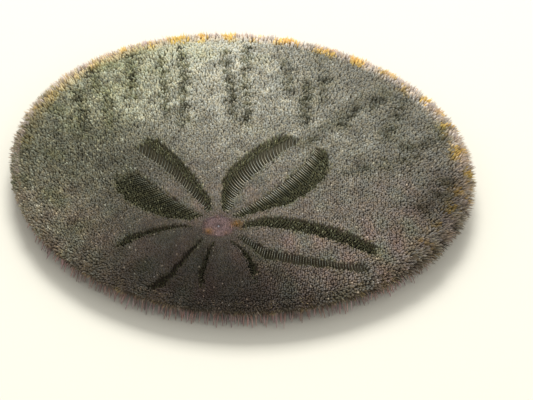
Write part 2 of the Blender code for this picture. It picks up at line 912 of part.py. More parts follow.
def main():
    """Build every node, grow its spines and dress it."""
    clear_scene()
    give_room()
    nodes = make_nodes()
    draw = random.Random(SEED)
    grow_combs(nodes)
    grown = {}
    for grow in (upper_spines, rim_spines, lower_spines, fringe_spines):
        found = grow(draw)
        for name, tools in found.items():
            grown.setdefault(name, []).extend(tools)
    for name, tools in grown.items():
        fuse(nodes[name], tools)
    for name, item in nodes.items():
        dress(item, name.split("_")[0])


main()
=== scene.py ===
"""Eccentric sand dollar: skin, spines, tube feet and openings, on a plain pale floor.

Lengths in the classes below are millimetres and angles are degrees, in the frame of the
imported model: +Z up, +Y the animal's front, +X its right. Shell turns them into metres.
"""

import logging
import math
from collections.abc import Iterator, Sequence
from dataclasses import dataclass, field
from enum import Enum

import bpy
import numpy as np
from mathutils import Matrix, Vector


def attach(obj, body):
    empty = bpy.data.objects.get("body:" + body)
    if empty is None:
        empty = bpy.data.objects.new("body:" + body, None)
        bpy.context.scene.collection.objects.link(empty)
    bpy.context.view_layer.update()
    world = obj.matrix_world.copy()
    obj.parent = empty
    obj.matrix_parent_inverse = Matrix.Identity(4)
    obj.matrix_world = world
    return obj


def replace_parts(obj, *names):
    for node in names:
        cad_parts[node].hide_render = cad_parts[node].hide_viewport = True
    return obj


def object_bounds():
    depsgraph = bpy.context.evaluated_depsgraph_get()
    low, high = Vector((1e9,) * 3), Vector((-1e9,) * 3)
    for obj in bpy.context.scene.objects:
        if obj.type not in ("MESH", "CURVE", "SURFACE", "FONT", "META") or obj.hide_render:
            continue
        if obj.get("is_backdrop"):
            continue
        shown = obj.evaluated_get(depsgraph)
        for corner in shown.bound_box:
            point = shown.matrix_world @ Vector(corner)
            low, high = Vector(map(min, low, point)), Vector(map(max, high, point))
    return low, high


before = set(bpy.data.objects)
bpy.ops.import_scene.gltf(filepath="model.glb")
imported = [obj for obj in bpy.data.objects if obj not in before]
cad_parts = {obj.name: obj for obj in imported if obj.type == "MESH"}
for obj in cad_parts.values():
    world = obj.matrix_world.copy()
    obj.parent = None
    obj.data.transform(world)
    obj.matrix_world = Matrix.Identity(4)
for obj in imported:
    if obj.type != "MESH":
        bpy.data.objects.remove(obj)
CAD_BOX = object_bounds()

LOG = logging.getLogger("sand_dollar")
MM = 0.001
PATCH = 0.003
PLAN_EXTENT = 90.0
Array = np.ndarray
Draw = np.random.Generator
Material = bpy.types.Material
Object = bpy.types.Object
Socket = bpy.types.NodeSocket
Tree = bpy.types.NodeTree
Colour = tuple[float, float, float]
Triple = tuple[float, float, float]
Place = tuple[float, float]
Span = tuple[float, float]
Route = tuple[Place, ...]
UP = np.array([[0.0, 0.0, 1.0]])
TONES = ("Dark", "Middle", "Pale")
TINTS = ("Olive", "Rose", "Amber")


class Slot(Enum):
    """Names of the material slots."""

    DISC = "apical_disc"
    PETALS = "petals"
    UPPER = "upper_side"
    RIM = "rim"
    UNDER = "underside"
    MOUTH = "mouth"
    ANUS = "anus"


class Side(Enum):
    """The two halves of a petal, seen from the middle of the flower."""

    LEFT = 1
    RIGHT = -1


def smooth(value: Array, low: float, high: float) -> Array:
    """Soft step from 0 at low to 1 at high.

    Args:
        value: Numbers to map.
        low: Where the step starts.
        high: Where the step ends.

    Returns:
        Numbers from 0 to 1.
    """
    share = np.clip((value - low) / (high - low), 0.0, 1.0)
    return share * share * (3.0 - 2.0 * share)


def unit(vectors: Array) -> Array:
    """Vectors scaled to length one."""
    return vectors / np.maximum(np.linalg.norm(vectors, axis=-1, keepdims=True), 1e-9)


def heading(degrees: float) -> Array:
    """Level unit vector at an angle from +X."""
    turn = math.radians(degrees)
    return np.array([math.cos(turn), math.sin(turn)])


def spot(x: Array, y: Array, z: Array | float = 0.0) -> Array:
    """Points, one a row, from their coordinates."""
    return np.stack(np.broadcast_arrays(x, y, z), -1)


def offset(x: Array, y: Array, place: Place) -> tuple[Array, Array]:
    """How far points lie to the right of a place and in front of it."""
    return x - place[0], y - place[1]


def plan_uv(x: Array, y: Array) -> Array:
    """Places on OFBake of points seen from above, the whole animal on one plan."""
    return np.stack([0.5 + x / PLAN_EXTENT, 0.5 + y / PLAN_EXTENT], -1)


def new_object(name: str, data: bpy.types.ID) -> Object:
    """Put a mesh, lamp or camera into the scene.

    Args:
        name: Name of its object.
        data: The mesh, lamp or camera.

    Returns:
        The object.
    """
    item = bpy.data.objects.new(name, data)
    bpy.context.scene.collection.objects.link(item)
    return item


def staggered(lines: Array, jitter: float, draw: Draw) -> tuple[Array, Array]:
    """Jittered places on a triangular grid whose spacing is one.

    Args:
        lines: Numbers of its rows and columns.
        jitter: How far a place may stray.
        draw: Random numbers.

    Returns:
        Places across and along.
    """
    column, row = np.meshgrid(lines, lines)
    shift = draw.uniform(-1, 1, (2, *row.shape)) * jitter
    across = column + 0.5 * (row % 2) + shift[0]
    return across.ravel(), (row * math.sqrt(0.75) + shift[1]).ravel()


def ring_faces(rings: int, count: int) -> Array:
    """Four-cornered faces between closed rings of points that follow one another.

    Args:
        rings: Number of rings.
        count: Number of points in each.

    Returns:
        Corner numbers, one face a row.
    """
    step = np.arange(count)
    after = (step + 1) % count
    level = (np.arange(rings - 1) * count)[:, None]
    corners = (level + step, level + after, level + count + after, level + count + step)
    return np.stack(np.broadcast_arrays(*corners), -1).reshape(-1, 4)


@dataclass(frozen=True)
class Ripple:
    """Smooth random field: a sum of waves in many directions.

    Args:
        wavelength: Typical distance between two crests.
        seed: Seed of the waves' directions and phases.
        waves: Number of waves.
        spread: Shortest and longest wave as shares of the wavelength.
    """

    wavelength: float
    seed: int
    waves: int = 14
    spread: Span = (0.6, 1.6)

    def at(self, x: Array, y: Array) -> Array:
        """Value of the field at points.

        Args:
            x, y: Where the points lie.

        Returns:
            Numbers of about -1 to 1.
        """
        draw = np.random.default_rng(self.seed)
        total = np.zeros_like(x, dtype=float)
        for _ in range(self.waves):
            turn = draw.uniform(0, math.tau)
            number = math.tau / (self.wavelength * draw.uniform(*self.spread))
            phase = draw.uniform(0, math.tau)
            total += np.sin(number * (x * math.cos(turn) + y * math.sin(turn)) + phase)
        return total / math.sqrt(self.waves)


@dataclass(frozen=True)
class Body:
    """Outline, upper side and underside of the body without its spines."""

    half_width: float = 38.0
    front_length: float = 35.1
    back_length: float = 38.1
    widest_y: float = 1.5
    ambitus_z: float = 3.9
    edge_rise: float = 0.95
    dome_rise: float = 3.3
    dome_power: float = 2.2
    under_drop: float = 1.95
    under_hollow: float = 0.35
    edge_power: int = 16
    apex: Place = (8.0, -20.3)
    mouth: Place = (0.0, 3.0)
    mouth_radius: float = 2.1
    vent: Place = (0.0, -32.0)

    def length_at(self, y: Array) -> Array:
        """Half length of the outline on the front or the rear half."""
        return np.where(y >= self.widest_y, self.front_length, self.back_length)

    def share(self, x: Array, y: Array) -> Array:
        """How far out a point lies: 0 in the middle and 1 on the outline."""
        return np.hypot(x / self.half_width, (y - self.widest_y) / self.length_at(y))

    def edge(self, turn: Array, share: Array | float = 1.0) -> Array:
        """Points at an angle about the outline's middle and a share of the way out.

        Args:
            turn: The angle, in radians.
            share: The share: 0 in the middle and 1 on the outline.

        Returns:
            The points, one a row.
        """
        length = np.where(np.sin(turn) >= 0, self.front_length, self.back_length)
        x = self.half_width * share * np.cos(turn)
        return np.stack([x, self.widest_y + length * share * np.sin(turn)], -1)

    def reach(self, dx: Array, dy: Array) -> Array:
        """Distance from the flower's middle to the outline in a direction.

        Args:
            dx: Rightward part of the direction, whose length is one.
            dy: Its forward part.

        Returns:
            The distance.
        """
        found = []
        start_y = self.apex[1] - self.widest_y
        for length in (self.front_length, self.back_length):
            a = (dx / self.half_width) ** 2 + (dy / length) ** 2
            b = 2 * (self.apex[0] * dx / self.half_width**2 + start_y * dy / length**2)
            c = (self.apex[0] / self.half_width) ** 2 + (start_y / length) ** 2 - 1
            found.append((-b + np.sqrt(np.maximum(b * b - 4 * a * c, 0))) / (2 * a))
        return np.where(start_y + found[0] * dy >= 0, found[0], found[1])

    def rounding(self, x: Array, y: Array) -> Array:
        """1 well inside the outline, falling to 0 on it in a rounded curve."""
        return np.sqrt(np.maximum(0.0, 1 - self.share(x, y) ** self.edge_power))

    def top(self, x: Array, y: Array) -> Array:
        """Height of the upper side.

        Args:
            x, y: Where the points lie.

        Returns:
            The height.
        """
        dx, dy = offset(x, y, self.apex)
        radius = np.hypot(dx, dy) + 1e-9
        out = np.minimum(radius / self.reach(dx / radius, dy / radius), 1.0)
        rise = self.edge_rise * self.rounding(x, y)
        return self.ambitus_z + rise + self.dome_rise * (1 - out**self.dome_power)

    def under(self, x: Array, y: Array) -> Array:
        """Height of the underside."""
        hollow = self.under_hollow * np.maximum(0.0, 1 - self.share(x, y) ** 2)
        return self.ambitus_z - self.under_drop * self.rounding(x, y) + hollow

    def top_normal(self, x: Array, y: Array, step: float = 0.15) -> Array:
        """Outward normal of the upper side.

        Args:
            x, y: Where the points lie.
            step: How far off the slope is measured.

        Returns:
            The normals, one a row.
        """
        slope_x = (self.top(x + step, y) - self.top(x - step, y)) / (2 * step)
        slope_y = (self.top(x, y + step) - self.top(x, y - step)) / (2 * step)
        return unit(spot(-slope_x, -slope_y, 1.0))


@dataclass(frozen=True)
class PetalSide:
    """One side of a petal, with the band of pores along its edge.

    Args:
        width: Distance from the middle line to the edge where the side is widest.
        band: Width of the band as a share of twice that distance.
        taper: How much the side narrows towards the tip.
        growth: How fast it widens from the root; less is faster.
        power: How late the taper sets in.
        end: Share of the petal's length at which the band ends.
        slants: How far the combs run along the petal for each step across it, at their
            inner and their outer end, halfway along the petal.
        fan: How much more they slant at the petal's tip than in its middle, doubled.
        felt: Share of the band's width at which its dark felt begins.
        pale: How pale the crests of the combs are.
        gap: Distance from one comb to the next at the petal's root.
        strength: How deep and dark the band is.
        ebb: Length over which the band fades out at its end.
        swell: Share of the width that makes its widest place come out right.
        rounding: Share of the petal's length at which its tip begins to round off.
    """

    width: float
    band: float = 0.31
    taper: float = 0.42
    growth: float = 0.62
    power: float = 3.0
    end: float = 0.95
    slants: Span = (0.2, 0.3)
    fan: float = 0.5
    felt: float = 0.55
    pale: float = 1.0
    gap: float = 0.41
    strength: float = 1.0
    ebb: float = 1.2
    swell: float = 1.42
    rounding: float = 0.88

    def half(self, share: Array) -> Array:
        """Distance from the middle line to the edge at a share of the length.

        Args:
            share: The share: 0 at the root and 1 at the tip.

        Returns:
            The distance.
        """
        share = np.minimum(share, 1.0)
        width = self.swell * share**self.growth * (1 - self.taper * share**self.power)
        past = np.clip((share - self.rounding) / (1 - self.rounding), 0.0, 1.0)
        return width * self.width * np.sqrt(1 - past**2)


@dataclass(frozen=True)
class Petal:
    """One petal of the flower.

    Args:
        name: Plain name of the petal.
        base: Direction of the petal where it leaves the middle.
        tip: Direction of its tip.
        length: Distance from the middle of the flower to its tip.
        left: Its left side, seen from the middle of the flower.
        right: Its right side.
    """

    name: str
    base: float
    tip: float
    length: float
    left: PetalSide
    right: PetalSide

    def axis(self, radius: Array) -> Array:
        """Direction of the middle line, in radians, at a distance from the middle."""
        share = np.clip(radius / self.length, 0.0, 1.0)
        return np.radians(self.base + (self.tip - self.base) * share)

    def side(self, side: Side) -> PetalSide:
        """The sizes of one side."""
        return self.left if side is Side.LEFT else self.right

    def polar(self, x: Array, y: Array, apex: Place) -> tuple[Array, Array]:
        """Distance along the petal's middle line, and distance across it, left positive.

        Args:
            x, y: Where the points lie.
            apex: The middle of the flower.

        Returns:
            The two distances.
        """
        dx, dy = offset(x, y, apex)
        along = np.hypot(dx, dy)
        for _ in range(4):
            turn = self.axis(along)
            along = np.cos(turn) * dx + np.sin(turn) * dy
        across = np.cos(turn) * dy - np.sin(turn) * dx
        return np.maximum(along, 0.0), np.where(along > 0, across, 1e3)

    def place(self, radius: Array, across: Array, apex: Place) -> Array:
        """Point at a distance from the middle and a distance across, left positive.

        Args:
            radius: Distance from the middle.
            across: Distance across.
            apex: The middle of the flower.

        Returns:
            The points, one a row.
        """
        turn = self.axis(radius)
        x = apex[0] + radius * np.cos(turn) - across * np.sin(turn)
        return np.stack([x, apex[1] + radius * np.sin(turn) + across * np.cos(turn)], -1)


@dataclass(frozen=True)
class Flower:
    """The five petals about the middle of the flower."""

    body: Body
    disc_radius: float = 2.9
    root: float = 3.9
    trough: float = 0.38
    inset: float = 0.32
    wobble: Ripple = Ripple(1.9, 71)
    unevenness: float = 0.13
    widest_room: float = 1.2
    fill: float = 0.93
    seam: float = 0.3
    narrowest: float = 0.02
    petals: tuple[Petal, ...] = (
        Petal(
            "front", 89, 85, 29.5,
            PetalSide(
                10.55, 0.302, 0.712, growth=0.705, power=1.49, end=0.925, slants=(0.45, 1.3),
                fan=1.2, felt=0.72, rounding=0.97,
            ),
            PetalSide(
                8.26, 0.314, 0.98, growth=0.538, power=3.75, end=0.92, slants=(-0.3, -0.45),
                fan=-0.2, felt=0.45, pale=1.5, gap=0.40,
            ),
        ),
        Petal(
            "left", 157, 162, 28.5,
            PetalSide(
                16.0, 0.381, 0.98, growth=0.847, power=1.2, end=0.8, slants=(0.25, 0.4),
                felt=0.3, pale=0.8, strength=0.9, ebb=6.0, rounding=0.5,
            ),
            PetalSide(
                8.33, 0.276, 0.29, growth=0.758, power=0.8, end=0.92, slants=(0.7, 1.3),
                felt=0.6, pale=0.75, ebb=3.0, rounding=0.97,
            ),
        ),
        Petal(
            "rear_left", 244, 238, 17.3,
            PetalSide(5.9, 0.10, end=0.95, felt=0.3, pale=0.2, ebb=4.0),
            PetalSide(5.9, 0.10, end=0.95, felt=0.3, pale=0.2, ebb=4.0),
        ),
        Petal(
            "rear_right", 303, 310, 13.6,
            PetalSide(5.0, 0.10, end=0.9, felt=0.3, pale=0.2, ebb=3.0),
            PetalSide(5.0, 0.10, end=0.9, felt=0.3, pale=0.2, ebb=3.0),
        ),
        Petal(
            "right", 19, 17, 27.0,
            PetalSide(
                6.26, 0.295, 0.713, growth=0.503, power=1.8, end=0.93, slants=(0.3, 0.5),
                felt=0.15, pale=0.3,
            ),
            PetalSide(
                7.57, 0.16, 0.872, growth=0.35, power=1.2, end=0.9, slants=(0.1, 0.2), fan=0.9,
                felt=0.8, gap=0.35,
            ),
        ),
    )

    def room(self, index: int, side: Side) -> float:
        """Half the angle to the next petal on a side, in radians.

        Args:
            index: Number of the petal.
            side: The side.

        Returns:
            The angle.
        """
        own = self.petals[index].base
        other = self.petals[(index + side.value) % len(self.petals)].base
        return min(math.radians(((other - own) * side.value) % 360 / 2), self.widest_room)

    def half(self, index: int, side: Side, radius: Array) -> Array:
        """Half a petal's width on a side, kept inside the room beside it at its root.

        Args:
            index: Number of the petal.
            side: The side.
            radius: Distance from the middle of the flower.

        Returns:
            The width.
        """
        petal = self.petals[index]
        width = petal.side(side).half(radius / petal.length)
        room = self.fill * radius * math.tan(self.room(index, side)) - self.seam
        return np.maximum(np.minimum(width, room), self.narrowest)

    def band(self, index: int, side: Side, radius: Array) -> tuple[Array, Array]:
        """Inner and outer edge of a band of pores, as distances from the middle line.

        Args:
            index: Number of the petal.
            side: The side.
            radius: Distance from the middle of the flower.

        Returns:
            The two distances.
        """
        half = self.half(index, side, radius)
        outer = half - self.inset
        return np.maximum(outer - 2 * self.petals[index].side(side).band * half, 0.0), outer

    def sides(self, x: Array, y: Array) -> Iterator[tuple[int, Side, Array, Array]]:
        """Each side of each petal, and how far along and across it the points lie.

        Args:
            x, y: Where the points lie.

        Returns:
            Number of the petal, side, and the two distances.
        """
        for index, petal in enumerate(self.petals):
            along, across = petal.polar(x, y, self.body.apex)
            for side in Side:
                yield index, side, along, across * side.value

    def in_bands(self, x: Array, y: Array, soft: float = 0.25) -> Array:
        """Where the bands of pores are.

        Args:
            x, y: Where the points lie.
            soft: Half the width of the bands' soft edges.

        Returns:
            1 over the bands and 0 elsewhere.
        """
        found = np.zeros_like(x, dtype=float)
        wobble = self.unevenness * self.wobble.at(x, y)
        for index, side, along, over in self.sides(x, y):
            form = self.petals[index].side(side)
            last = form.end * self.petals[index].length
            ends = smooth(along, self.root - 0.5, self.root + 0.5)
            ends = ends * (1 - smooth(along, last - form.ebb, last + 0.2))
            inner, outer = self.band(index, side, along)
            inside = smooth(over + wobble, inner - soft, inner + soft)
            inside = inside * (1 - smooth(over + wobble, outer - soft, outer + soft))
            found = np.maximum(found, inside * ends * form.strength)
        return found

    def felted(self, x: Array, y: Array) -> Array:
        """The dark felt on which points lie.

        Args:
            x, y: Where the points lie.

        Returns:
            Index of the petal on whose felt each point lies, or -1.
        """
        found = np.full(x.shape, -1)
        wobble = self.unevenness * self.wobble.at(x, y)
        for index, side, along, over in self.sides(x, y):
            form = self.petals[index].side(side)
            inner, outer = self.band(index, side, along)
            share = (over + wobble - inner) / np.maximum(outer - inner, 0.05)
            inside = (share > form.felt) & (share < 1.05) & (along > self.root - 0.4)
            found = np.where(inside & (along < form.end * self.petals[index].length), index, found)
        return found

    def petal_of(self, x: Array, y: Array) -> Array:
        """Index of the petal that holds each point, or -1.

        Args:
            x, y: Where the points lie.

        Returns:
            The index.
        """
        found = np.full(x.shape, -1)
        for index, side, along, over in self.sides(x, y):
            inside = (along < self.petals[index].length) & (over >= 0)
            found = np.where(inside & (over < self.half(index, side, along)), index, found)
        return found


@dataclass(frozen=True)
class Streak:
    """One dark line on the upper side: the places that it runs through, and its width."""

    route: Route
    width: float = 0.7
    depth: float = 0.72

    def at(self, x: Array, y: Array) -> Array:
        """Strength of the line at points.

        Args:
            x, y: Where the points lie.

        Returns:
            Numbers from 0 to the line's depth.
        """
        nearest = np.full(x.shape, 1e9)
        for (x0, y0), (x1, y1) in zip(self.route, self.route[1:]):
            run = (x1 - x0, y1 - y0)
            share = ((x - x0) * run[0] + (y - y0) * run[1]) / (run[0] ** 2 + run[1] ** 2)
            share = np.clip(share, 0.0, 1.0)
            gap = np.hypot(x - x0 - run[0] * share, y - y0 - run[1] * share)
            nearest = np.minimum(nearest, gap)
        return self.depth * np.exp(-((nearest / self.width) ** 2))


@dataclass(frozen=True)
class Glow:
    """A soft round patch of lighter tone."""

    centre: Place
    spread: Span
    amount: float

    def at(self, x: Array, y: Array) -> Array:
        """Amount of light tone at each point.

        Args:
            x, y: Where the points lie.

        Returns:
            The amount.
        """
        dx, dy = offset(x, y, self.centre)
        dx, dy = dx / self.spread[0], dy / self.spread[1]
        return self.amount * np.exp(-(dx * dx + dy * dy) / 2)


@dataclass(frozen=True)
class Markings:
    """Tone and tint of the animal over its upper side, shared by skin and coat."""

    body: Body
    flower: Flower
    tufts: Ripple = Ripple(4.2, 52)
    warm: Glow = Glow((10.6, -18.1), (0.9, 0.6), 0.75)
    base_tone: float = 0.28
    rim: Span = (0.91, 0.965)
    tufted_rim: Span = (0.90, 0.955)
    coarse: Ripple = Ripple(6.0, 3)
    fine: Ripple = Ripple(2.2, 4)
    specks: Ripple = Ripple(1.7, 7)
    breaks: Ripple = Ripple(2.0, 9)
    meanders: tuple[Ripple, Ripple] = (Ripple(2.6, 14), Ripple(3.1, 15))
    olive_patches: Ripple = Ripple(9.0, 21)
    rose_patches: Ripple = Ripple(5.0, 31)
    # Soft patches that are partly painted light and shade (the paler front and left, a painted highlight on
    # the front-left rim, the darker rear and right margin) and partly the animal's own tone.
    painted_light_and_pigment: tuple[Glow, ...] = (
        Glow((-14.0, 13.0), (21.0, 13.0), 0.34),
        Glow((-26.0, 27.0), (11.0, 8.0), 0.62),
        Glow((-24.5, 2.0), (6.0, 5.5), 0.22),
        Glow((18.0, 2.0), (16.0, 12.0), 0.06),
        Glow((-1.0, -6.0), (8.0, 8.0), 0.10),
        Glow((22.0, -16.0), (11.0, 5.0), 0.14),
        Glow((-38.0, 0.0), (6.0, 8.0), 0.06),
        Glow((-18.0, 22.0), (4.0, 5.0), -0.13),
        Glow((0.0, -18.0), (4.0, 3.0), 0.10),
        Glow((-16.0, -31.0), (9.0, 5.0), 0.14),
        Glow((-23.0, -23.0), (8.0, 6.0), 0.07),
        Glow((-11.0, -13.0), (11.0, 5.0), -0.09),
        Glow((16.0, -31.0), (19.0, 8.0), -0.21),
        Glow((38.0, 9.0), (7.0, 11.0), -0.15),
        Glow((33.0, -7.0), (7.0, 5.0), 0.08),
    )
    streaks: tuple[Streak, ...] = (
        Streak(((-26.5, 18.5), (-19.5, 8.5), (-14.8, 1.5)), 0.65, 0.68),
        Streak(((-24.6, 22.8), (-17.0, 10.8), (-11.2, 0.5)), 0.65, 0.7),
        Streak(((-31.0, 16.0), (-27.4, 10.2), (-23.5, 4.0)), 0.95, 0.8),
        Streak(((-34.2, 8.5), (-29.8, 2.8)), 1.0, 0.55),
        Streak(((-28.8, 4.0), (-24.2, -2.0), (-21.0, -6.5)), 0.9, 0.55),
        Streak(((-32.8, 1.5), (-27.8, -4.8), (-23.8, -10.2)), 1.0, 0.5),
        Streak(((-17.5, 25.2), (-12.2, 17.8), (-8.2, 12.0), (-3.8, 5.8)), 0.75, 0.66),
        Streak(((-14.8, 28.6), (-8.0, 16.2), (-1.6, 6.0)), 0.65, 0.66),
        Streak(((-6.2, 28.0), (-0.8, 19.0)), 0.9, 0.5),
        Streak(((0.5, 24.0), (3.6, 16.5), (6.6, 11.0)), 0.8),
        Streak(((1.0, 28.8), (5.5, 19.0)), 0.8, 0.45),
        Streak(((11.8, 14.0), (11.1, 19.4), (13.0, 23.0), (14.2, 28.0)), 1.1, 0.6),
        Streak(((9.2, 5.0), (9.9, 12.5), (10.5, 25.6)), 0.9, 0.4),
        Streak(((18.9, 15.6), (18.9, 21.2), (16.8, 27.5)), 1.1, 0.6),
        Streak(((19.2, 3.1), (23.0, 8.8), (26.0, 13.8)), 1.2, 0.45),
        Streak(((23.6, 15.0), (27.4, 21.9), (26.0, 26.0)), 1.2, 0.55),
        Streak(((32.4, 2.5), (33.6, 8.8), (34.2, 14.4)), 1.4, 0.5),
    )

    def tone(self, x: Array, y: Array) -> Array:
        """Lightness of the coat: soft patches that are partly painted light and shade, paler in front and on
        the left and darker at the rear and right, and partly its own tone; mottle, streaks and the pale rim
        in front.

        Args:
            x, y: Where the points lie.

        Returns:
            Numbers from 0, darkest, to 1, palest.
        """
        total = np.full(x.shape, self.base_tone)
        # Add the patches of painted light and shade mixed with the animal's own tone.
        for glow in self.painted_light_and_pigment:
            total = total + glow.at(x, y)
        mottle = 0.06 * self.coarse.at(x, y) + 0.05 * self.fine.at(x, y)
        left = smooth(-x - 0.2 * y, 8.0, 24.0)
        mottle = mottle + 0.12 * left * self.specks.at(x, y)
        total = total * (1 - 0.9 * self.lines(x, y)) + mottle * total / 0.5
        rim = smooth(self.body.share(x, y), *self.rim) * smooth(y - 0.2 * x, -4.0, 16.0)
        return np.clip(total + 0.45 * rim, 0.02, 1.0)

    def lines(self, x: Array, y: Array) -> Array:
        """Strength of the dark streaks that run out to the rim.

        Args:
            x, y: Where the points lie.

        Returns:
            Numbers from 0 to 1.
        """
        total = np.zeros(x.shape)
        broken = 0.9 + 0.45 * self.breaks.at(x, y)
        aside = x + 0.4 * self.meanders[0].at(x, y)
        along = y + 0.3 * self.meanders[1].at(x, y)
        for streak in self.streaks:
            total = np.maximum(total, streak.at(aside, along))
        return np.clip(total * broken, 0.0, 1.0)

    def olive(self, x: Array, y: Array) -> Array:
        """Share of olive in the colour: streaks, bands, and the left and rear, where the darkening is partly
        the animal's colour and partly painted shade.

        Args:
            x, y: Where the points lie.

        Returns:
            The share.
        """
        patches = smooth(self.olive_patches.at(x, y), 0.1, 1.4)
        outer = smooth(self.body.share(x, y), 0.55, 0.95)
        # Darker olive towards the left and rear: partly the animal's colour, partly painted shade.
        left = smooth(-x - 0.4 * y, 4.0, 26.0) + 0.3 * smooth(-x, 12.0, 28.0)
        amount = 0.9 * self.lines(x, y) + 0.28 * patches * (0.4 + outer) + 0.42 * left
        return np.clip(amount + 0.8 * self.flower.in_bands(x, y, 0.6), 0.0, 1.0)

    def amber(self, x: Array, y: Array) -> Array:
        """Share of amber in the colour: tufts along the rim, most of them in front.

        Args:
            x, y: Where the points lie.

        Returns:
            The share.
        """
        rim = smooth(self.body.share(x, y), *self.tufted_rim)
        tufts = self.tufted(x, y)
        left = 0.7 * smooth(-x, 24.0, 33.0) * smooth(y, -22.0, -8.0)
        found = rim * np.maximum(tufts * smooth(y + 0.3 * x, -1.0, 11.0), left * (0.4 + 0.6 * tufts))
        return np.clip(found + self.warm.at(x, y), 0.0, 1.0)

    def tufted(self, x: Array, y: Array) -> Array:
        """1 where the amber tufts are and 0 between them."""
        return smooth(self.tufts.at(x, y), 0.15, 0.8)

    def rose(self, x: Array, y: Array) -> Array:
        """Share of rose in the colour: the middle of the flower and the right side.

        Args:
            x, y: Where the points lie.

        Returns:
            Numbers from 0 to 1.
        """
        radius = np.hypot(*offset(x, y, self.body.apex))
        right = np.maximum(smooth(x - 0.7 * y, 8.0, 40.0), 0.8 * smooth(-y, 16.0, 30.0))
        patches = 0.9 + 0.6 * self.rose_patches.at(x, y)
        middle = 1 - smooth(radius, 2.0, 3.6)
        flush = 0.5 * np.exp(-((radius / 15.0) ** 2))
        rim = smooth(self.body.share(x, y), *self.rim) * smooth(y - 0.2 * x, -8.0, 10.0)
        spread = np.maximum(0.6 * right, flush) * patches
        return np.clip(np.maximum(middle, spread) + 0.6 * rim, 0.0, 1.0)


@dataclass
class Shell:
    """One piece before its mesh is made: points, faces, values and places on OFBake."""

    name: str
    points: list[Array] = field(default_factory=list)
    faces: list[Array] = field(default_factory=list)
    unwrap: list[Array] = field(default_factory=list)
    values: dict[str, list[Array]] = field(default_factory=dict)
    count: int = 0

    def add(
        self,
        points: Array,
        faces: list[tuple[Array, Array]],
        values: dict[str, Array | float],
    ) -> None:
        """Add points, faces and point values.

        Args:
            points: Points in millimetres, one a row.
            faces: Pairs of corner numbers, one face a row, and the corners' UV places.
            values: Numbers for each point, or one number for them all, by name.
        """
        for corners, places in faces:
            self.faces.append(corners + self.count)
            self.unwrap.append(places.reshape(-1, 2))
        for key, numbers in values.items():
            self.values.setdefault(key, []).append(np.broadcast_to(numbers, len(points)))
        self.points.append(points)
        self.count += len(points)

    def build(self, material: Material, slot: Slot) -> Object:
        """Make the object, give it its material and let it ride on the body.

        Args:
            material: Its material.
            slot: Its slot; not used.

        Returns:
            The object.
        """
        mesh = bpy.data.meshes.new(self.name)
        points = np.concatenate(self.points) * MM
        mesh.vertices.add(len(points))
        mesh.vertices.foreach_set("co", points.astype(np.float32).ravel())
        corners = np.concatenate([group.ravel() for group in self.faces])
        totals = np.concatenate([np.full(len(group), group.shape[1]) for group in self.faces])
        starts = np.concatenate([[0], np.cumsum(totals)[:-1]])
        mesh.loops.add(len(corners))
        mesh.loops.foreach_set("vertex_index", corners.astype(np.int32))
        mesh.polygons.add(len(totals))
        mesh.polygons.foreach_set("loop_start", starts.astype(np.int32))
        layer = mesh.uv_layers.new(name="OFBake")
        layer.data.foreach_set("uv", np.concatenate(self.unwrap).astype(np.float32).ravel())
        for key, groups in self.values.items():
            attribute = mesh.attributes.new(key, "FLOAT", "POINT")
            attribute.data.foreach_set("value", np.concatenate(groups).astype(np.float32))
        mesh.update(calc_edges=True)
        mesh.validate()
        mesh.shade_smooth()
        mesh.materials.append(material)
        item = new_object(self.name, mesh)
        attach(item, "root")
        triangles = int((totals - 2).sum())
        LOG.info("%s: %d points, %d triangles", self.name, len(points), triangles)
        return item


def closed_shell(
    name: str, points: Array, around: int, uv: Array, values: dict[str, Array | float]
) -> Shell:
    """Piece made of rings of points that one point closes at each end.

    Args:
        name: Name of the piece.
        points: The rings' points, then one inside the first ring and one inside the last.
        around: Number of points in each ring.
        uv: Place of each point on OFBake.
        values: Numbers for each point, or one number for them all, by name.

    Returns:
        The piece, ready to build.
    """
    rings = (len(points) - 2) // around
    step = np.arange(around)
    after = (step + 1) % around
    last = (rings - 1) * around
    walls = ring_faces(rings, around)[:, [0, 3, 2, 1]]
    first_fan = np.stack([np.full(around, len(points) - 2), step, after], -1)
    last_fan = np.stack([np.full(around, len(points) - 1), last + after, last + step], -1)
    shell = Shell(name)
    shell.add(points, [(group, uv[group]) for group in (walls, first_fan, last_fan)], values)
    return shell


@dataclass(frozen=True)
class SpineForm:
    """Form of one kind of spine.

    Args:
        sides: Number of sides.
        stations: Shares of its length at which it has a ring of points.
        widths: Radius at each of them as a share of its own.
    """

    sides: int
    stations: tuple[float, ...]
    widths: tuple[float, ...]


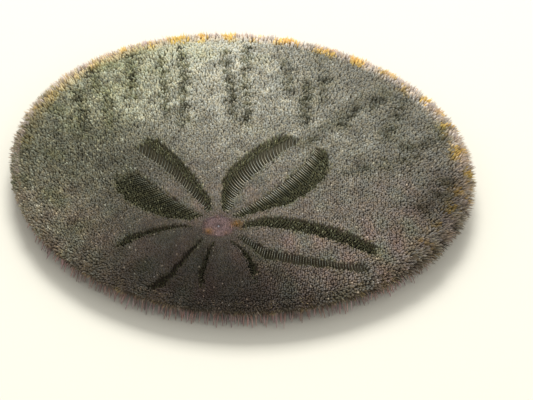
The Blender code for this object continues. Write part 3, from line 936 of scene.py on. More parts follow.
@dataclass
class Growth:
    """Many spines of one form: where each stands, and its size and colour values."""

    roots: Array
    directions: Array
    lengths: Array
    radii: Array
    bends: Array
    unwrap: Array
    values: dict[str, Array]

    def pick(self, chosen: Array) -> "Growth":
        """The spines of one piece.

        Args:
            chosen: Which spines belong to it.

        Returns:
            Those spines.
        """
        values = {key: numbers[chosen] for key, numbers in self.values.items()}
        arrays = (self.roots, self.directions, self.lengths, self.radii, self.bends, self.unwrap)
        return Growth(*[array[chosen] for array in arrays], values)

    def build(
        self, name: str, form: SpineForm, seed: int, finish: Material, slot: Slot,
        patch: float = PATCH,
    ) -> Object:
        """Make the spines as one piece.

        Args:
            name: Name of the piece.
            form: Form of each spine.
            seed: Seed of the turn of each spine about itself.
            finish: Its material.
            slot: Its slot.
            patch: Size of one spine's place on the UV map.

        Returns:
            The object.
        """
        count = len(self.roots)
        sides = form.sides
        rings = len(form.stations)
        stations = np.array(form.stations)
        along = unit(self.directions)
        steep = np.abs(along[:, 2:3]) > 0.9
        helper = np.where(steep, np.array([[1.0, 0.0, 0.0]]), UP)
        first = unit(np.cross(along, helper))
        second = np.cross(along, first)
        turns = np.random.default_rng(seed).uniform(0, math.tau, count)
        angles = turns[:, None] + math.tau * np.arange(sides)[None, :] / sides
        ring = np.cos(angles)[..., None] * first[:, None] + np.sin(angles)[..., None] * second[:, None]
        reach = stations[None, :, None] * self.lengths[:, None, None]
        curve = (stations**2)[None, :, None] * self.lengths[:, None, None]
        line = self.roots[:, None] + along[:, None] * reach + self.bends[:, None] * curve
        width = self.radii[:, None] * np.array(form.widths)[None, :]
        tube = line[:, :, None] + ring[:, None] * width[:, :, None, None]
        tips = self.roots + (along + self.bends) * self.lengths[:, None]
        points = np.concatenate([tube.reshape(count, -1, 3), tips[:, None]], 1)
        each = rings * sides + 1
        base = (np.arange(count) * each)[:, None, None]
        step = np.arange(sides)
        after = (step + 1) % sides
        quads = ring_faces(rings, sides)
        top = (rings - 1) * sides
        caps = np.stack([top + step, top + after, np.full(sides, each - 1)], -1)
        foot = step[::-1][None, :]
        places = self.unwrap[:, None, None]
        low = np.repeat(stations[:-1], sides)
        high = np.repeat(stations[1:], sides)
        left = np.tile(step, rings - 1) / sides
        right = left + 1 / sides
        quad_uv = np.stack([left, low, right, low, right, high, left, high], -1)
        left = step / sides
        right = left + 1 / sides
        end = np.full(sides, stations[-1])
        tip_uv = np.stack([left, end, right, end, (left + right) / 2, np.ones(sides)], -1)
        around = math.tau * step[::-1] / sides
        foot_uv = np.stack([0.5 + 0.1 * np.cos(around), -0.15 + 0.1 * np.sin(around)], -1)
        groups = []
        for corners, uv in ((quads, quad_uv), (caps, tip_uv), (foot, foot_uv)):
            size = corners.shape[1]
            uv = (uv.reshape(1, -1, size, 2) - 0.5) * patch * 0.8
            groups.append(((base + corners[None]).reshape(-1, size), uv + places))
        values = {key: np.repeat(numbers, each) for key, numbers in self.values.items()}
        heights = np.concatenate([np.repeat(stations, sides), [1.0]])
        values["along"] = np.tile(heights, count)
        shell = Shell(name)
        shell.add(points.reshape(-1, 3), groups, values)
        return shell.build(finish, slot)


@dataclass
class Nodes:
    """Small helper that adds and joins nodes of one node tree."""

    tree: Tree

    def add(self, kind: str, **settings: object) -> bpy.types.Node:
        """Add a node and set its properties.

        Args:
            kind: Its type.
            settings: Its properties.

        Returns:
            The node.
        """
        node = self.tree.nodes.new(kind)
        for key, value in settings.items():
            setattr(node, key, value)
        return node

    def link(self, source: object, target: object) -> None:
        """Join an output to an input."""
        self.tree.links.new(source, target)

    def feed(self, target: object, value: object) -> None:
        """Join an output to an input, or set the input's own number or colour.

        Args:
            target: The input.
            value: An output, a number or a colour.
        """
        if isinstance(value, Socket):
            self.link(value, target)
        elif isinstance(value, tuple):
            target.default_value = (*value, 1.0)
        else:
            target.default_value = value

    def wire(self, node: bpy.types.Node, inputs: dict[str, object]) -> None:
        """Feed several inputs of a node by name."""
        for key, value in inputs.items():
            self.feed(node.inputs[key], value)

    def math(self, operation: str, *values: object) -> Socket:
        """Result of a Math node.

        Args:
            operation: What it does.
            values: What goes into it.

        Returns:
            Its output.
        """
        node = self.add("ShaderNodeMath", operation=operation)
        for target, value in zip(node.inputs, values):
            self.feed(target, value)
        return node.outputs[0]

    def step(self, value: object, low: float, high: float) -> Socket:
        """Soft step of a value from 0 at low to 1 at high.

        Args:
            value: The value.
            low: Where the step starts.
            high: Where it ends.

        Returns:
            Its output.
        """
        node = self.add("ShaderNodeMapRange", interpolation_type="SMOOTHSTEP")
        self.wire(node, {"Value": value, "From Min": low, "From Max": high})
        return node.outputs["Result"]

    def mix(self, share: object, first: object, second: object, blend: str = "MIX") -> Socket:
        """Result of a colour Mix node.

        Args:
            share: Share of the second colour.
            first: One colour.
            second: The other.
            blend: How they are mixed.

        Returns:
            Its output.
        """
        node = self.add("ShaderNodeMix", data_type="RGBA", blend_type=blend)
        for number, value in ((0, share), (6, first), (7, second)):
            self.feed(node.inputs[number], value)
        return node.outputs[2]

    def noise(self, scale: float | Socket, detail: float) -> bpy.types.Node:
        """Noise over the object's own coordinates.

        Args:
            scale: Its scale.
            detail: Its detail.

        Returns:
            The node.
        """
        node = self.add("ShaderNodeTexNoise")
        place = self.add("ShaderNodeTexCoord").outputs["Object"]
        self.wire(node, {"Scale": scale, "Detail": detail, "Vector": place})
        return node

    def value(self, name: str) -> Socket:
        """A number that the mesh carries at its points."""
        return self.add("ShaderNodeAttribute", attribute_name=name).outputs["Fac"]


class Groups:
    """Node groups for the effects that several materials share."""

    def __init__(self) -> None:
        """Build each group once."""
        self.pigment = self.make_pigment()
        self.grain = self.make_grain()

    def start(
        self, name: str, inputs: dict[str, str], outputs: dict[str, str]
    ) -> tuple[Tree, Nodes, bpy.types.Node, bpy.types.Node]:
        """Open a new group with named sockets.

        Args:
            name: Name of the group.
            inputs: Socket type by input name.
            outputs: Socket type by output name.

        Returns:
            The group, a helper for it, and its input and output nodes.
        """
        tree = bpy.data.node_groups.new(name, "ShaderNodeTree")
        for key, kind in inputs.items():
            tree.interface.new_socket(name=key, in_out="INPUT", socket_type=kind)
        for key, kind in outputs.items():
            tree.interface.new_socket(name=key, in_out="OUTPUT", socket_type=kind)
        nodes = Nodes(tree)
        return tree, nodes, nodes.add("NodeGroupInput"), nodes.add("NodeGroupOutput")

    def make_pigment(self) -> Tree:
        """Colour of skin and coat from the animal's markings.

        Returns:
            The group.
        """
        number = "NodeSocketFloat"
        colour = "NodeSocketColor"
        inputs = dict.fromkeys(("Tone", *TINTS, "Tint"), number)
        inputs |= dict.fromkeys(TONES, colour)
        inputs |= {f"{key} Colour": colour for key in TINTS}
        tree, nodes, given, out = self.start("pigment", inputs, {"Color": colour})
        tone = given.outputs["Tone"]
        shade = nodes.mix(nodes.step(tone, 0.0, 0.5), given.outputs["Dark"], given.outputs["Middle"])
        shade = nodes.mix(nodes.step(tone, 0.4, 1.0), shade, given.outputs["Pale"])
        for key in TINTS:
            tinted = nodes.mix(1.0, shade, given.outputs[f"{key} Colour"], "MULTIPLY")
            shade = nodes.mix(given.outputs[key], shade, tinted)
        draw = nodes.math("FRACT", nodes.math("MULTIPLY", given.outputs["Tint"], 7.3))
        hue = nodes.mix(nodes.step(draw, 0.3, 0.7), (0.96, 1.0, 1.10), (1.04, 0.995, 0.95))
        shade = nodes.mix(1.0, shade, hue, "MULTIPLY")
        speckle = nodes.noise(900.0, 2.0).outputs["Fac"]
        level = nodes.math("MULTIPLY_ADD", nodes.step(given.outputs["Tint"], 0.0, 1.0), 0.24, 0.88)
        cloud = nodes.math("MULTIPLY_ADD", speckle, 0.5, 0.75)
        varied = nodes.add("ShaderNodeHueSaturation")
        nodes.wire(varied, {"Value": nodes.math("MULTIPLY", level, cloud), "Color": shade})
        nodes.link(varied.outputs["Color"], out.inputs["Color"])
        return tree

    def make_grain(self) -> Tree:
        """Fine chalky grain: a height for bump, and a roughness that varies.

        Returns:
            The group.
        """
        number = "NodeSocketFloat"
        inputs = {"Scale": number, "Roughness": number, "Spread": number}
        outputs = {"Height": number, "Roughness": number}
        tree, nodes, given, out = self.start("grain", inputs, outputs)
        scale = given.outputs["Scale"]
        noise = nodes.noise(scale, 4.0)
        pits = nodes.add("ShaderNodeTexVoronoi")
        place = nodes.add("ShaderNodeTexCoord").outputs["Object"]
        nodes.wire(pits, {"Scale": scale, "Vector": place})
        deep = nodes.math("MULTIPLY", pits.outputs["Distance"], 0.5)
        height = nodes.math("ADD", noise.outputs["Fac"], deep)
        spread = nodes.math("SUBTRACT", noise.outputs["Fac"], 0.5)
        spread = nodes.math("MULTIPLY", spread, given.outputs["Spread"])
        rough = nodes.math("ADD", given.outputs["Roughness"], spread)
        nodes.wire(out, {"Height": height, "Roughness": rough})
        return tree


@dataclass(frozen=True)
class Finish:
    """Colours and surface of one kind of piece.

    Args:
        name: Name of the material.
        dark: Colour at the darkest tone.
        middle: Colour at the middle tone.
        pale: Colour at the palest tone.
        olive: What the colour is multiplied by where it is olive.
        rose: What the colour is multiplied by where it is rosy.
        amber: What the colour is multiplied by where it is amber.
        root: What the colour is multiplied by at the root of a spine.
        rise: Shares of a spine's length between which its root colour gives way.
        roughness: Roughness of the surface.
        gloss: Strength of its reflections.
        grain: Scale of its grain.
        bump: Strength of its grain.
        spread: How much its roughness varies.
        bump_depth: Height of its grain.
    """

    name: str
    dark: Colour
    middle: Colour
    pale: Colour
    olive: Colour = (0.70, 0.74, 0.52)
    rose: Colour = (1.14, 0.91, 0.95)
    amber: Colour = (1.20, 0.95, 0.36)
    root: Colour = (0.55, 0.53, 0.44)
    rise: Span = (0.05, 0.7)
    roughness: float = 0.8
    gloss: float = 0.16
    grain: float = 3000.0
    bump: float = 0.25
    spread: float = 0.3
    bump_depth: float = 0.05

    def material(self, groups: Groups) -> Material:
        """Make the material: the markings' pigment, darker roots and fine grain.

        Args:
            groups: Node groups that all finishes share.

        Returns:
            The material.
        """
        material = bpy.data.materials.new(self.name)
        material.use_nodes = True
        nodes = Nodes(material.node_tree)
        shader = material.node_tree.nodes["Principled BSDF"]
        pigment = nodes.add("ShaderNodeGroup", node_tree=groups.pigment)
        inputs = {key: nodes.value(key.lower()) for key in ("Tone", *TINTS, "Tint")}
        inputs |= {key: getattr(self, key.lower()) for key in TONES}
        inputs |= {f"{key} Colour": getattr(self, key.lower()) for key in TINTS}
        nodes.wire(pigment, inputs)
        tip = pigment.outputs["Color"]
        shadow = nodes.mix(1.0, tip, self.root, "MULTIPLY")
        rise = nodes.step(nodes.value("along"), *self.rise)
        grain = nodes.add("ShaderNodeGroup", node_tree=groups.grain)
        nodes.wire(grain, {"Scale": self.grain, "Roughness": self.roughness, "Spread": self.spread})
        bump = nodes.add("ShaderNodeBump")
        depth = self.bump_depth * MM
        height = grain.outputs["Height"]
        nodes.wire(bump, {"Strength": self.bump, "Distance": depth, "Height": height})
        nodes.wire(shader, {
            "Base Color": nodes.mix(rise, shadow, tip),
            "Roughness": grain.outputs["Roughness"],
            "Specular IOR Level": self.gloss,
            "Normal": bump.outputs["Normal"],
        })
        return material


class Palette:
    """All the finishes of the animal."""

    def __init__(self) -> None:
        """Make each material once."""
        groups = Groups()
        dark: Colour = (0.060, 0.056, 0.044)
        middle: Colour = (0.29, 0.28, 0.222)
        pale: Colour = (0.70, 0.69, 0.56)
        self.coat = Finish("coat", dark, middle, pale).material(groups)
        self.felt = Finish(
            "felt", (0.075, 0.071, 0.047), (0.27, 0.26, 0.18), (0.60, 0.58, 0.45),
            olive=(0.9, 0.95, 0.7), gloss=0.1,
        ).material(groups)
        self.skin = Finish(
            "skin", (0.030, 0.028, 0.021), (0.120, 0.114, 0.090), (0.24, 0.23, 0.185),
            olive=(0.36, 0.36, 0.26), root=(1.0, 1.0, 1.0), gloss=0.1, grain=1500.0, bump=0.6,
        ).material(groups)
        self.combs = Finish(
            "tube_feet", (0.055, 0.052, 0.035), (0.30, 0.295, 0.225), (0.85, 0.83, 0.69),
            olive=(0.66, 0.69, 0.46), root=(0.12, 0.12, 0.09), rise=(0.6, 1.0), roughness=0.7,
        ).material(groups)
        self.fringe = Finish(
            "fringe", (0.055, 0.050, 0.036), (0.36, 0.325, 0.24), (0.86, 0.80, 0.70),
            rose=(1.05, 0.94, 1.0), rise=(0.1, 0.85), root=(0.30, 0.28, 0.22), roughness=0.6,
            gloss=0.3,
        ).material(groups)
        self.under = Finish(
            "under_coat", (0.11, 0.08, 0.075), (0.33, 0.26, 0.235), (0.60, 0.50, 0.45)
        ).material(groups)
        self.disc = Finish(
            "disc", (0.055, 0.047, 0.045), (0.23, 0.20, 0.185), (0.62, 0.60, 0.60),
            rose=(1.10, 0.90, 0.98),
        ).material(groups)
        self.membrane = Finish(
            "mouth_membrane", (0.07, 0.04, 0.04), (0.20, 0.12, 0.11), (0.40, 0.28, 0.26),
            root=(0.5, 0.4, 0.4), roughness=0.4, gloss=0.4, grain=2200.0, bump=0.5,
        ).material(groups)
        self.teeth = Finish(
            "teeth", (0.45, 0.42, 0.36), (0.72, 0.69, 0.62), (0.86, 0.84, 0.79),
            root=(0.6, 0.5, 0.42), roughness=0.3, gloss=0.5, bump=0.1,
        ).material(groups)


@dataclass
class Piece:
    """Base of every sub-assembly: the forms, markings and finishes that they share."""

    body: Body
    flower: Flower
    markings: Markings
    palette: Palette


@dataclass
class Skin(Piece):
    """The skin of the whole body, with sunken bands above and grooves below."""

    around: int = 320
    upper_rings: int = 96
    under_rings: int = 60
    edge_rings: int = 14
    edge_start: float = 0.9
    groove_depth: float = 0.35
    groove_width: float = 0.42
    groove_turns: tuple[float, ...] = (90, 158, 236, 304, 22)
    groove_spread: float = 17.0
    groove_reach: float = 33.0
    mouth_pit: Triple = (0.95, 1.1, 1.75)
    vent_pit: Triple = (0.3, 0.4, 0.85)

    def grooves(self, x: Array, y: Array) -> Array:
        """Where the food grooves of the underside are.

        Args:
            x, y: Where the points lie.

        Returns:
            1 in the grooves and 0 beside them.
        """
        dx, dy = offset(x, y, self.body.mouth)
        radius = np.hypot(dx, dy)
        turn = np.degrees(np.arctan2(dy, dx))
        out = self.body.share(x, y)
        start = self.body.mouth_radius
        share = np.clip((radius - start) / (self.groove_reach - start), 0.0, 1.0)
        spread = self.groove_spread * np.minimum(1.0, share / 0.45) ** 0.7 * (1 - 0.25 * share)
        found = np.zeros(x.shape)
        for middle in self.groove_turns:
            for side in (-1, 1):
                gap = (turn - middle - spread * side + 180) % 360 - 180
                across = np.abs(np.radians(gap)) * radius
                line = 1 - smooth(across, self.groove_width * 0.4, self.groove_width * 1.3)
                found = np.maximum(found, np.where(np.abs(gap) < 60, line, 0.0))
        return found * (1 - smooth(out, 0.86, 0.93)) * smooth(radius, start - 0.6, start)

    def top(self, x: Array, y: Array) -> Array:
        """Height of the skin on the upper side."""
        return self.body.top(x, y) - self.flower.trough * self.flower.in_bands(x, y)

    def under(self, x: Array, y: Array) -> Array:
        """Height of the skin on the underside.

        Args:
            x, y: Where the points lie.

        Returns:
            The height.
        """
        height = self.body.under(x, y) + self.groove_depth * self.grooves(x, y)
        body = self.body
        for place, (depth, *edges) in ((body.mouth, self.mouth_pit), (body.vent, self.vent_pit)):
            height = height + depth * (1 - smooth(np.hypot(*offset(x, y, place)), *edges))
        return height

    def build(self) -> None:
        """Make the skin in place of all the solids of flesh."""
        turns = math.tau * np.arange(self.around) / self.around
        run = np.linspace(0, 1, self.edge_rings + 1)[1:]
        rim = self.edge_start + (1 - self.edge_start) * np.sin(run * math.pi / 2) ** 0.6
        upper = np.linspace(0, self.edge_start, self.upper_rings + 1)[1:]
        under = np.linspace(0, self.edge_start, self.under_rings + 1)[1:]
        down = np.concatenate([under, rim[:-1]])[::-1]
        shares = np.concatenate([upper, rim, down])
        above = np.arange(len(shares)) < len(upper) + len(rim)
        plan = self.body.edge(turns[None, :], shares[:, None])
        x, y = plan[..., 0], plan[..., 1]
        z = np.where(above[:, None], self.top(x, y), self.under(x, y))
        middle = np.array([[0.0, self.body.widest_y]])
        tops = np.append(middle[0], self.top(*middle.T))
        bottoms = np.append(middle[0], self.under(*middle.T))
        points = np.concatenate([spot(x, y, z).reshape(-1, 3), [tops], [bottoms]])
        x, y = points.T[:2]
        upper_side = np.append(np.repeat(above, self.around), [True, False])
        uv = np.where(upper_side[:, None], plan_uv(x, y) * 0.5, plan_uv(x, y) * 0.5 + 0.5)
        values = {
            "tone": self.markings.tone(x, y),
            "olive": np.where(upper_side, self.markings.olive(x, y), 0.1),
            "rose": np.where(upper_side, self.markings.rose(x, y), 0.7),
            "tint": 0.5,
            "along": 1.0,
        }
        shell = closed_shell("skin", points, self.around, uv, values)
        item = shell.build(self.palette.skin, Slot.UPPER)
        flesh = [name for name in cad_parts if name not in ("apical_disc", "mouth", "anus")]
        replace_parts(item, *sorted(flesh))


@dataclass
class Dress(Piece):
    """Base of whatever stands on the skin."""

    skin: Skin

    def off_apex(self, u: Array, v: Array) -> tuple[Array, Array]:
        """Places that far to the right of the middle of the flower and in front of it."""
        return self.body.apex[0] + u, self.body.apex[1] + v


@dataclass
class Coat(Dress):
    """Base of the pieces that are made of many spines of one form."""

    form: SpineForm = SpineForm(4, (0.0, 0.6), (1.0, 0.9))
    turn_seeds: Sequence[int] = ()

    def divide(
        self, growth: Growth, numbers: Array, names: list[str], finish: Material, slot: Slot,
        seeds: Sequence[int] = (),
    ) -> None:
        """Make the spines in pieces.

        Args:
            growth: All the spines.
            numbers: Number of the piece that each belongs to.
            names: Names of the pieces.
            finish: Their material.
            slot: Their slot.
            seeds: Seed for the turns of each piece's spines, if not this coat's own.
        """
        for number, (name, seed) in enumerate(zip(names, seeds or self.turn_seeds)):
            growth.pick(numbers == number).build(name, self.form, seed, finish, slot)

    def by_petal(self, title: str) -> list[str]:
        """A name for each petal's piece."""
        return [f"{title}_{petal.name}" for petal in self.flower.petals]


@dataclass
class UpperCoat(Coat):
    """The short club-shaped spines of the upper side."""

    seed: int = 5
    fine: float = 0.30
    widening: float = 0.0006
    jitter: float = 0.21
    limit: float = 0.985
    rear_limit: float = 0.997
    rear_finer: float = 0.27
    length: float = 0.54
    outer_length: float = 0.32
    girth: float = 0.44
    lean: float = 0.12
    outer_lean: float = 0.42
    sway: float = 0.17
    stray: float = 0.34
    sunk: float = 0.12
    reach: int = 190
    margin: float = 0.8
    rim: Span = (0.915, 0.975)
    far: Span = (8.0, 46.0)
    near: Span = (2.5, 7.0)
    rim_lean: float = 0.6
    rim_length: float = 0.65
    eddies: Ripple = Ripple(5.0, 12)
    rear: Span = (2.0, 16.0)
    fields: tuple[str, ...] = ("front_left", "left", "rear", "right", "front_right")
    form: SpineForm = SpineForm(5, (0.0, 0.8), (0.55, 1.0))
    turn_seeds: Sequence[int] = range(9, 14)

    def places(self, draw: Draw) -> tuple[Array, Array]:
        """Roots on a jittered triangular grid that widens away from the flower.

        Args:
            draw: Random numbers.

        Returns:
            How far the roots lie to the right and to the front.
        """
        u, v = staggered(np.arange(-self.reach, self.reach + 1), self.jitter, draw)
        rho = np.hypot(u, v) + 1e-9
        radius = (self.fine * rho + self.widening * rho**2) * self.squeeze(-v / rho)
        x, y = self.off_apex(radius * u / rho, radius * v / rho)
        limit = self.limit + (self.rear_limit - self.limit) * smooth(-y, *self.rear)
        keep = (self.body.share(x, y) < limit) & (radius > self.flower.disc_radius - 0.7)
        x, y = x[keep], y[keep]
        bare = self.flower.in_bands(x, y, 0.12) > draw.uniform(0.1, 0.8, len(x))
        return x[~bare], y[~bare]

    def squeeze(self, rearward: Array) -> Array:
        """Spacing as a share of that in front, by how far a direction points to the rear."""
        return 1 - self.rear_finer * smooth(rearward, -0.1, 0.8)

    def grow(self) -> Growth:
        """All the spines of the upper side: their lean, size and colour values.

        Returns:
            The spines.
        """
        draw = np.random.default_rng(self.seed)
        x, y = self.places(draw)
        count = len(x)
        share = self.body.share(x, y)
        away = spot(*offset(x, y, self.body.apex))
        distance = np.linalg.norm(away, axis=1)
        outward = unit(away)
        far = smooth(distance, *self.far)
        rim = smooth(share, *self.rim) * (1 - 0.75 * smooth(-y, *self.rear))
        lean = self.lean + (self.outer_lean - self.lean) * far + self.rim_lean * rim
        wander = self.eddies.at(x, y) * 0.25
        sway = draw.uniform(-1, 1, (count, 3)) * self.sway * (1 + far[:, None])
        aside = spot(-outward[:, 1], outward[:, 0])
        normal = self.body.top_normal(x, y)
        direction = unit(normal + outward * lean[:, None] + aside * (wander * lean)[:, None] + sway)
        near = 1 - smooth(distance, *self.near)
        length = (self.length + self.outer_length * far) * (1 - 0.35 * near)
        length = length + self.rim_length * rim
        beside = self.flower.in_bands(x, y, 0.9)
        length = length * draw.uniform(0.86, 1.12, count) * (1 + 0.5 * beside)
        squeeze = self.squeeze(-away[:, 1] / distance)
        spacing = squeeze * np.sqrt(self.fine**2 + 4 * self.widening * distance / squeeze)
        radius = self.girth * spacing * (1 - 0.2 * near) * draw.uniform(0.84, 1.12, count)
        z = self.skin.top(x, y) - self.sunk
        stray_x = x + draw.normal(0, self.stray, count)
        stray_y = y + draw.normal(0, self.stray, count)
        tone = self.markings.tone(stray_x, stray_y) * (1 - 0.3 * beside)
        tone = tone * draw.normal(1.0, 0.10, count)
        # A few spines made paler, more of them on the left and beside the bands: painted glints on wet spine
        # tips.
        glint_share = 0.006 + 0.035 * smooth(-x - 0.3 * y, 8.0, 26.0) + 0.06 * beside
        glinting = draw.uniform(0, 1, count) < glint_share
        tone = np.where(glinting, tone + 0.35, tone)
        values = {
            "tone": np.clip(tone, 0.0, 1.0),
            "olive": self.markings.olive(stray_x, stray_y),
            "rose": self.markings.rose(x, y),
            "amber": self.markings.amber(stray_x, stray_y),
            "tint": draw.uniform(0, 1, count),
        }
        bends = outward * (0.25 * lean)[:, None]
        return Growth(spot(x, y, z), direction, length, radius, bends, plan_uv(x, y), values)

    def build(self) -> None:
        """Make the coat in pieces: about each petal's neighbours and along the margin."""
        growth = self.grow()
        x, y = growth.roots.T[:2]
        petal = self.flower.petal_of(x, y)
        dx, dy = offset(x, y, self.body.apex)
        turn = np.degrees(np.arctan2(dy, dx)) % 360
        ends = [entry.tip for entry in self.flower.petals]
        sector = np.argsort(ends)[np.searchsorted(np.sort(ends), turn, side="right") - 1]
        margin = self.body.share(x, y) > self.margin
        number = np.where(petal < 0, 2 * sector + margin, -1)
        fields = [f"spines_{part}_{name}" for name in self.fields for part in ("field", "margin")]
        seeds = [index // 2 for index in range(len(fields))]
        self.divide(growth, number, fields, self.palette.coat, Slot.UPPER, seeds)
        petals = self.by_petal("spines_petal")
        self.divide(growth, petal, petals, self.palette.coat, Slot.PETALS)


@dataclass
class TubeFeet(Dress):
    """The combs of leaf-like tube feet across the bands of the petals."""

    seed: int = 8
    widening: float = 0.10
    thickness: float = 0.125
    height: float = 0.52
    bead: float = 0.36
    least_stations: int = 8
    stations_per_bead: float = 4.5
    uv_width: float = 0.0028
    section: Route = (
        (-0.5, -0.5), (-0.42, 0.35), (0.0, 1.0), (0.42, 0.35), (0.5, -0.5),
    )

    def comb(
        self, index: int, side: Side, radius: float, draw: Draw
    ) -> tuple[Array, dict[str, Array | float], Array]:
        """Rings of points of one comb, from the inner edge of its band outward.

        Args:
            index: Number of the petal.
            side: Which band.
            radius: Distance of its inner end from the middle of the flower.
            draw: Random numbers.

        Returns:
            Points by station and corner, their values, and their places on the unwrap.
        """
        petal = self.flower.petals[index]
        form = petal.side(side)
        first, last = self.slants(index, side, radius)
        inner, outer = self.flower.band(index, side, np.array(radius))
        width = float(outer - inner)
        arc = width * math.sqrt(1 + ((first + last) / 2) ** 2)
        count = max(self.least_stations, int(arc / self.bead * self.stations_per_bead))
        share = np.linspace(0, 1, count)
        along = radius + width * (first * share + (last - first) / 2 * share**2)
        along = np.minimum(along, petal.length - 0.25)
        inner, outer = self.flower.band(index, side, along)
        across = (inner - 0.1 + (outer - inner + 0.05) * share) * side.value
        plan = petal.place(along, across, self.body.apex)
        x, y = plan.T
        z = self.skin.top(x, y)
        run = unit(np.gradient(plan, axis=0))
        normal = np.stack([-run[:, 1], run[:, 0]], -1)
        beads = np.sin(math.tau * arc / self.bead * share + draw.uniform(0, 6))
        wave = 1 + 0.16 * beads + draw.uniform(-0.12, 0.12)
        tall = self.height * wave * (1 - 0.45 * share) * smooth(share, -0.12, 0.12)
        last = form.end * petal.length
        tall = tall * (1 - 0.6 * smooth(along, last - form.ebb, last))
        lean = draw.uniform(-0.25, 0.25)
        rings = []
        heights = []
        for wide, high in self.section:
            level = np.where(high < 0, high * 0.3, high * tall)
            thick = wide * self.thickness * (1 + 0.25 * beads)[:, None]
            shift = normal * (thick + lean * max(high, 0.0) * 0.3)
            rings.append(spot(x + shift[:, 0], y + shift[:, 1], z + level))
            heights.append(np.full(count, max(high, 0.0)))
        points = np.stack(rings, 1)
        fade = smooth(share, form.felt - 0.5, form.felt + 0.25)
        crest = (0.35 + self.markings.tone(x, y)) * form.pale * (1 + 0.25 * beads)
        tone = np.clip(crest, 0, 1) * (1 - 0.85 * fade)
        values = {
            "tone": np.repeat(tone, len(self.section)),
            "olive": np.repeat(0.1 + 0.7 * fade, len(self.section)),
            "tint": draw.uniform(0.2, 0.8),
            "along": np.stack(heights, 1).ravel(),
        }
        return points, values, plan_uv(x, y)

    def slants(self, index: int, side: Side, radius: float) -> Span:
        """Slant of a comb at its inner and its outer end, more of it towards the tip.

        Args:
            index: Number of the petal.
            side: The side.
            radius: Distance of its inner end from the middle of the flower.

        Returns:
            The two slants.
        """
        petal = self.flower.petals[index]
        form = petal.side(side)
        more = form.fan * (radius / petal.length - 0.5)
        return form.slants[0] + more, form.slants[1] + more

    def build(self) -> None:
        """Make the combs of each petal as one piece."""
        draw = np.random.default_rng(self.seed)
        corners = len(self.section)
        step = np.arange(corners)
        for index, petal in enumerate(self.flower.petals):
            shell = Shell(f"tube_feet_{petal.name}")
            for side in Side:
                radius = self.flower.root - 0.2
                while radius < petal.length * petal.side(side).end - 0.3:
                    points, values, places = self.comb(index, side, radius, draw)
                    stations = len(points)
                    ends = [step[::-1][None], (step + (stations - 1) * corners)[None]]
                    flat = points.reshape(-1, 3)
                    uv = np.repeat(places, corners, 0)
                    lane = (np.tile(step, stations) / corners - 0.5) * self.uv_width
                    uv = uv + lane[:, None] * np.array([[1.0, 0.3]])
                    faces = (ring_faces(stations, corners), *ends)
                    shell.add(flat, [(group, uv[group]) for group in faces], values)
                    slant = sum(self.slants(index, side, radius)) / 2
                    gap = petal.side(side).gap + self.widening * radius / petal.length
                    radius += gap * math.sqrt(1 + slant**2) * draw.uniform(0.93, 1.07)
            shell.build(self.palette.combs, Slot.PETALS)


@dataclass
class Felt(Coat):
    """The short dark spines that clothe the outer part of each band."""

    seed: int = 15
    spacing: float = 0.30
    jitter: float = 0.3
    length: float = 0.6
    radius: float = 0.075
    sway: float = 0.42
    reach: float = 32.0
    turn_seeds: Sequence[int] = range(30, 35)

    def build(self) -> None:
        """Make the felt of each petal as one piece."""
        draw = np.random.default_rng(self.seed)
        reach = int(self.reach / self.spacing)
        u, v = staggered(np.arange(-reach, reach), self.jitter, draw)
        x, y = self.off_apex(u * self.spacing, v * self.spacing)
        petal = self.flower.felted(x, y)
        felted = petal >= 0
        x, y, petal = x[felted], y[felted], petal[felted]
        count = len(x)
        direction = self.body.top_normal(x, y) + draw.uniform(-1, 1, (count, 3)) * self.sway
        # A few felt spines made paler: painted glints on wet spine tips.
        glinting = draw.uniform(0, 1, count) < 0.05
        lift = 1.4 - 0.4 * self.flower.in_bands(x, y)
        tone = self.markings.tone(x, y) * lift * draw.uniform(0.3, 1.0, count) + 0.5 * glinting
        values = {
            "tone": np.clip(tone, 0.0, 1.0),
            "olive": draw.uniform(0.5, 1, count),
            "tint": draw.uniform(0, 1, count),
        }
        growth = Growth(
            spot(x, y, self.skin.top(x, y) - 0.1), unit(direction),
            self.length * draw.uniform(0.7, 1.2, count), self.radius * draw.uniform(0.8, 1.2, count),
            np.zeros((count, 3)), plan_uv(x, y), values,
        )
        names = self.by_petal("felt")
        self.divide(growth, petal, names, self.palette.felt, Slot.PETALS)


